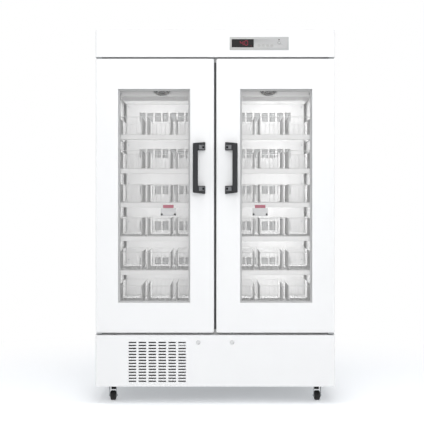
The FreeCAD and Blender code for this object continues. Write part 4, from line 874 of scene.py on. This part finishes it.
# Card holders: a clear PVC pocket on the glass of each door, with a plain red strip at its head and two studs
# that hold it. The card in it is left bare.
clear_vinyl = finish("clear calendered PVC", "CFCFCF", 0.3, IOR=1.45, Alpha=0.5)
red_card = finish("red printed card", "A16E79", 0.55, "AE6672", 0.01)
pocket_wide, pocket_tall, strip_wide, strip_tall, card_top = 0.079, 0.040, 0.054, 0.016, 1.0110
glass_y = pane_low.y
for side, middle in (("left", -0.2385), ("right", 0.2290)):
    door, strip_low = f"{side}_door", card_top - strip_tall
    low = Vector((middle - pocket_wide / 2, glass_y - 0.0016, strip_low - pocket_tall))
    high = Vector((middle + pocket_wide / 2, glass_y - 0.0002, strip_low))
    bar(low, high)
    bar((low.x, low.y - 0.0006, low.z), (high.x, low.y, low.z + 0.004), 0.0002)
    fitted(f"{door}_card_pocket", clear_vinyl, door, slot="clear_glass")
    bar((middle - strip_wide / 2, low.y - 0.0004, strip_low), (middle + strip_wide / 2, high.y, card_top),
        0.0006)
    fitted(f"{door}_card_strip", red_card, door)
    for x in (low.x + 0.006, high.x - 0.006):
        turned("0 0, 0 5, -2.2 5, -3.2 4.2, -3.4 0", (x, glass_y, low.z + 0.008), "Y", 18)
    fitted(f"{door}_card_studs", black_nylon, door)


# Hinges: stainless plates in the gaps above and below the doors, each with a pin that the door's bush turns
# on, screwed to the cabinet's front flange.
softened("hinge_brackets", 0.0012, 2, stainless, "cabinet", "hinge_steel")
low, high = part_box("hinge_brackets")
for x in (-0.590, 0.590):
    for z in (low.z + 0.012, low.z + 0.034, high.z - 0.034, high.z - 0.012):
        screw((x, -0.281, z), "Y", -1, 0.0042)
fitted("hinge_bracket_screws", screw_zinc)


# Handles: a C of black ABS, moulded in one piece, whose arms lean out to a grip with chamfered edges. A grey
# cover lies on each foot's leaning face, its light grey a painted highlight on the black foot, and a dark
# screw in it holds the foot to the door.
black_abs = finish("black ABS, spark-eroded texture", "1D1E20", 0.42, "292A2D", 0.04, (0.0016, 0.00005))
black_screw = finish("black-oxide screw steel", "19191A", 0.35, "232324", 0.004, metallic=0.8)
# the covers' light grey is a painted highlight on the black feet
foot_highlight_grey = finish("grey moulded ABS, painted highlight", "6F7072", 0.3, "7C7D7F", 0.03)
foot_in, foot_width, foot_rise, foot_base, screw_at = 0.050, 0.037, 0.033, 0.009, 0.0155
foot_face = math.hypot(foot_rise, foot_width)
foot_lean = Matrix.Rotation(-math.atan2(foot_rise, foot_width), 4, "Z")
for side, sign in SIDES.items():
    door = f"{side}_door"
    softened(f"{door}_handle", 0.0022, 3, black_abs, door, "handle_black")
    low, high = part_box(f"{door}_handle")
    # built flat: +Y runs into the leaning face, and +X along it towards the grip
    for name, material, build in (
            ("covers", foot_highlight_grey,
             lambda: bar((0.006, -0.0014, -0.011), (foot_face - 0.006, 0.0014, 0.011), 0.0011, 2)),
            ("bosses", black_abs, lambda: turned("-1 6.8, -2.4 6.6, -2.6 6, -1.8 5, -1 4.8",
                                                 (screw_at, 0, 0), "Y", 24, True)),
            ("screws", black_screw, lambda: screw((screw_at, -0.0012, 0), "Y", -1, 0.0046))):
        for z in (low.z + 0.027, high.z - 0.027):
            moved(Matrix.Translation((sign * foot_in, high.y - foot_base, z))
                @ Matrix.Diagonal((sign, 1, 1, 1)) @ foot_lean, build)
        fitted(f"{door}_handle_{name}", material, door)


# Locks: a chromed cam lock below each door, with its round head in a thin washer against the panel.
chrome = finish("polished chrome on zinc", "DADCDD", 0.24, "E4E5E6", 0.01, metallic=1.0)
lock_out, lock_z = 0.086, 0.313
for side, sign in SIDES.items():
    softened(f"{side}_door_lock", 0.0005, 2, chrome, f"{side}_door_lock", "lock_chrome")
    turned("0 10, -1.2 11.2, -1.8 12.2, -1.2 13.4, 0 13.8", (sign * lock_out, lower_low.y, lock_z), "Y", 36,
        True)
    fitted(f"{side}_lock_washer", powder_coat)


# Control panel: a bevelled ABS plate with a light grey printed polyester face, a smoked window with red
# segment digits, four touch keys, a lamp and the alarm mute button.
panel_low, panel_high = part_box("control_panel")
printed_face = finish("printed polyester over ABS", "BDBDBB", 0.42, "B7B7B7", 0.3, (0.003, 0.00003))
tree = printed_face.node_tree
face_place = add(tree, "SeparateXYZ", add(tree, "TexCoord").outputs["Object"])
face_fade = add(tree, "MapRange", face_place, panel_low.x + 0.1, panel_high.x - 0.06, 0.0, 1.0)
tree.links.new(blended(tree, face_fade, "BDBDBB", "B7B7B7"),
    node_of(printed_face, "BsdfPrincipled").inputs["Base Color"])
softened("control_panel", 0.0014, 3, printed_face, "cabinet", "panel_grey")

window_low, window_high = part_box("display_window")
dress(finish("smoked acrylic", "060505", 0.12, "0A0809", 0.05), "display_window")
# which of the seven segments each digit lights: top, upper right, lower right, bottom, lower left, upper
# left, middle; and where each stands from the digit's middle, in halves of its size, and whether it is level
DIGITS = {"4": "0110011", "0": "1111110"}
PLACES = ((0, 1, True), (1, 0.5, False), (1, -0.5, False), (0, -1, True), (-1, -0.5, False),
    (-1, 0.5, False), (0, 0, True))
half, half_high, stroke, gap, raised = 0.0075, 0.011, 0.0018, 0.0005, 0.0004
middle_z, glow_y = window_low.z + 0.021, window_low.y - 0.0002
for state, flag, material in (
        ("lit", "1", finish("lit red display segment", "2A0610", 0.4, "33070A", 0.01,
                            Emission_Color=colour("A61C40"), Emission_Strength=0.62)),
        ("unlit", "0", finish("unlit display segment", "14090A", 0.4, "180B0C", 0.01))):
    pen = window_low.x + 0.042
    for letter in "4.0":
        if letter == ".":
            if state == "lit":
                bar((pen - 0.0026, glow_y - raised, middle_z - half_high),
                    (pen - 0.0006, glow_y + raised, middle_z - half_high + 0.002), 0)
            pen += 0.0030
            continue
        for on, (across, up, level) in zip(DIGITS[letter], PLACES):
            end = (half if level else half_high / 2) - gap
            shape = [(-end, 0), (stroke - end, stroke), (end - stroke, stroke), (end, 0),
                (end - stroke, -stroke), (stroke - end, -stroke)]
            if on == flag:
                plate(shape if level else [(b, a) for a, b in shape], "Y", glow_y - raised, glow_y + raised,
                    (pen + half + across * half, middle_z + up * half_high))
        pen += 2 * half + 0.0050
    if state == "lit":
        for x in (window_high.x - 0.017, window_high.x - 0.010):
            turned("0.4 0, 0.4 1.1, -0.4 1.1, -0.4 0", (x, glow_y, window_low.z + 0.006), "Y", 14)
    fitted(f"display_{state}_segments", material)
overlap = Vector((0.0012, 0, 0.0012))
mitred(window_low - overlap, window_high + overlap, "0 0.4, 0 -0.6, 0.6 -1.1, 1.8 -1.1, 2.4 -0.4, 2.4 1.5",
    panel_low.y)
fitted("display_window_bezel", black_nylon)

# touch keys: low pillows under the printed face, each with a pressed ring
key_grey = finish("printed grey touch key", "B3B3B1", 0.4, "AEAEAC", 0.02)
face_y = panel_low.y
turned("0.2 7.8, -0.6 7.4, -0.9 6.6, -0.9 5.8, -0.6 5.2, -0.6 0",
    (window_high.x + 0.028, face_y, (panel_low.z + panel_high.z) / 2 - 0.011), "Y", 28)
repeated("touch_keys", key_grey, 4, (0.022, 0, 0))
low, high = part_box("alarm_mute_button")
x, z = (low.x + high.x) / 2, (low.z + high.z) / 2
turned("0.4 3, -1.2 3, -2.2 2, -2.6 0", (x, face_y, z + 0.016), "Y", 24)
fitted("alarm_lamp", finish("dark indicator lens", "3A1412", 0.2, "44201C", 0.004))
deep = low.y - high.y
dish = [(deep + along, radius) for along, radius in mm("0.8 4, 0.2 3.4, 0 2.4, 0.3 0")]
turned(mm("0 0, 0 5.5, -1.4 5.5, -1.4 4") + dish, (x, high.y, z), "Y", 28)
fitted("alarm_mute_button_cap", finish("polished white ABS", "E8E9E8", 0.25, "E2E3E3", 0.004),
    "alarm_mute_button", "alarm_mute_button", slot="button_white")
turned("0.4 4.6, -0.6 4.6, -1 5.2, -0.6 6, 0.4 6.2", (x, face_y, z), "Y", 28, True)
fitted("alarm_button_bezel", black_nylon)
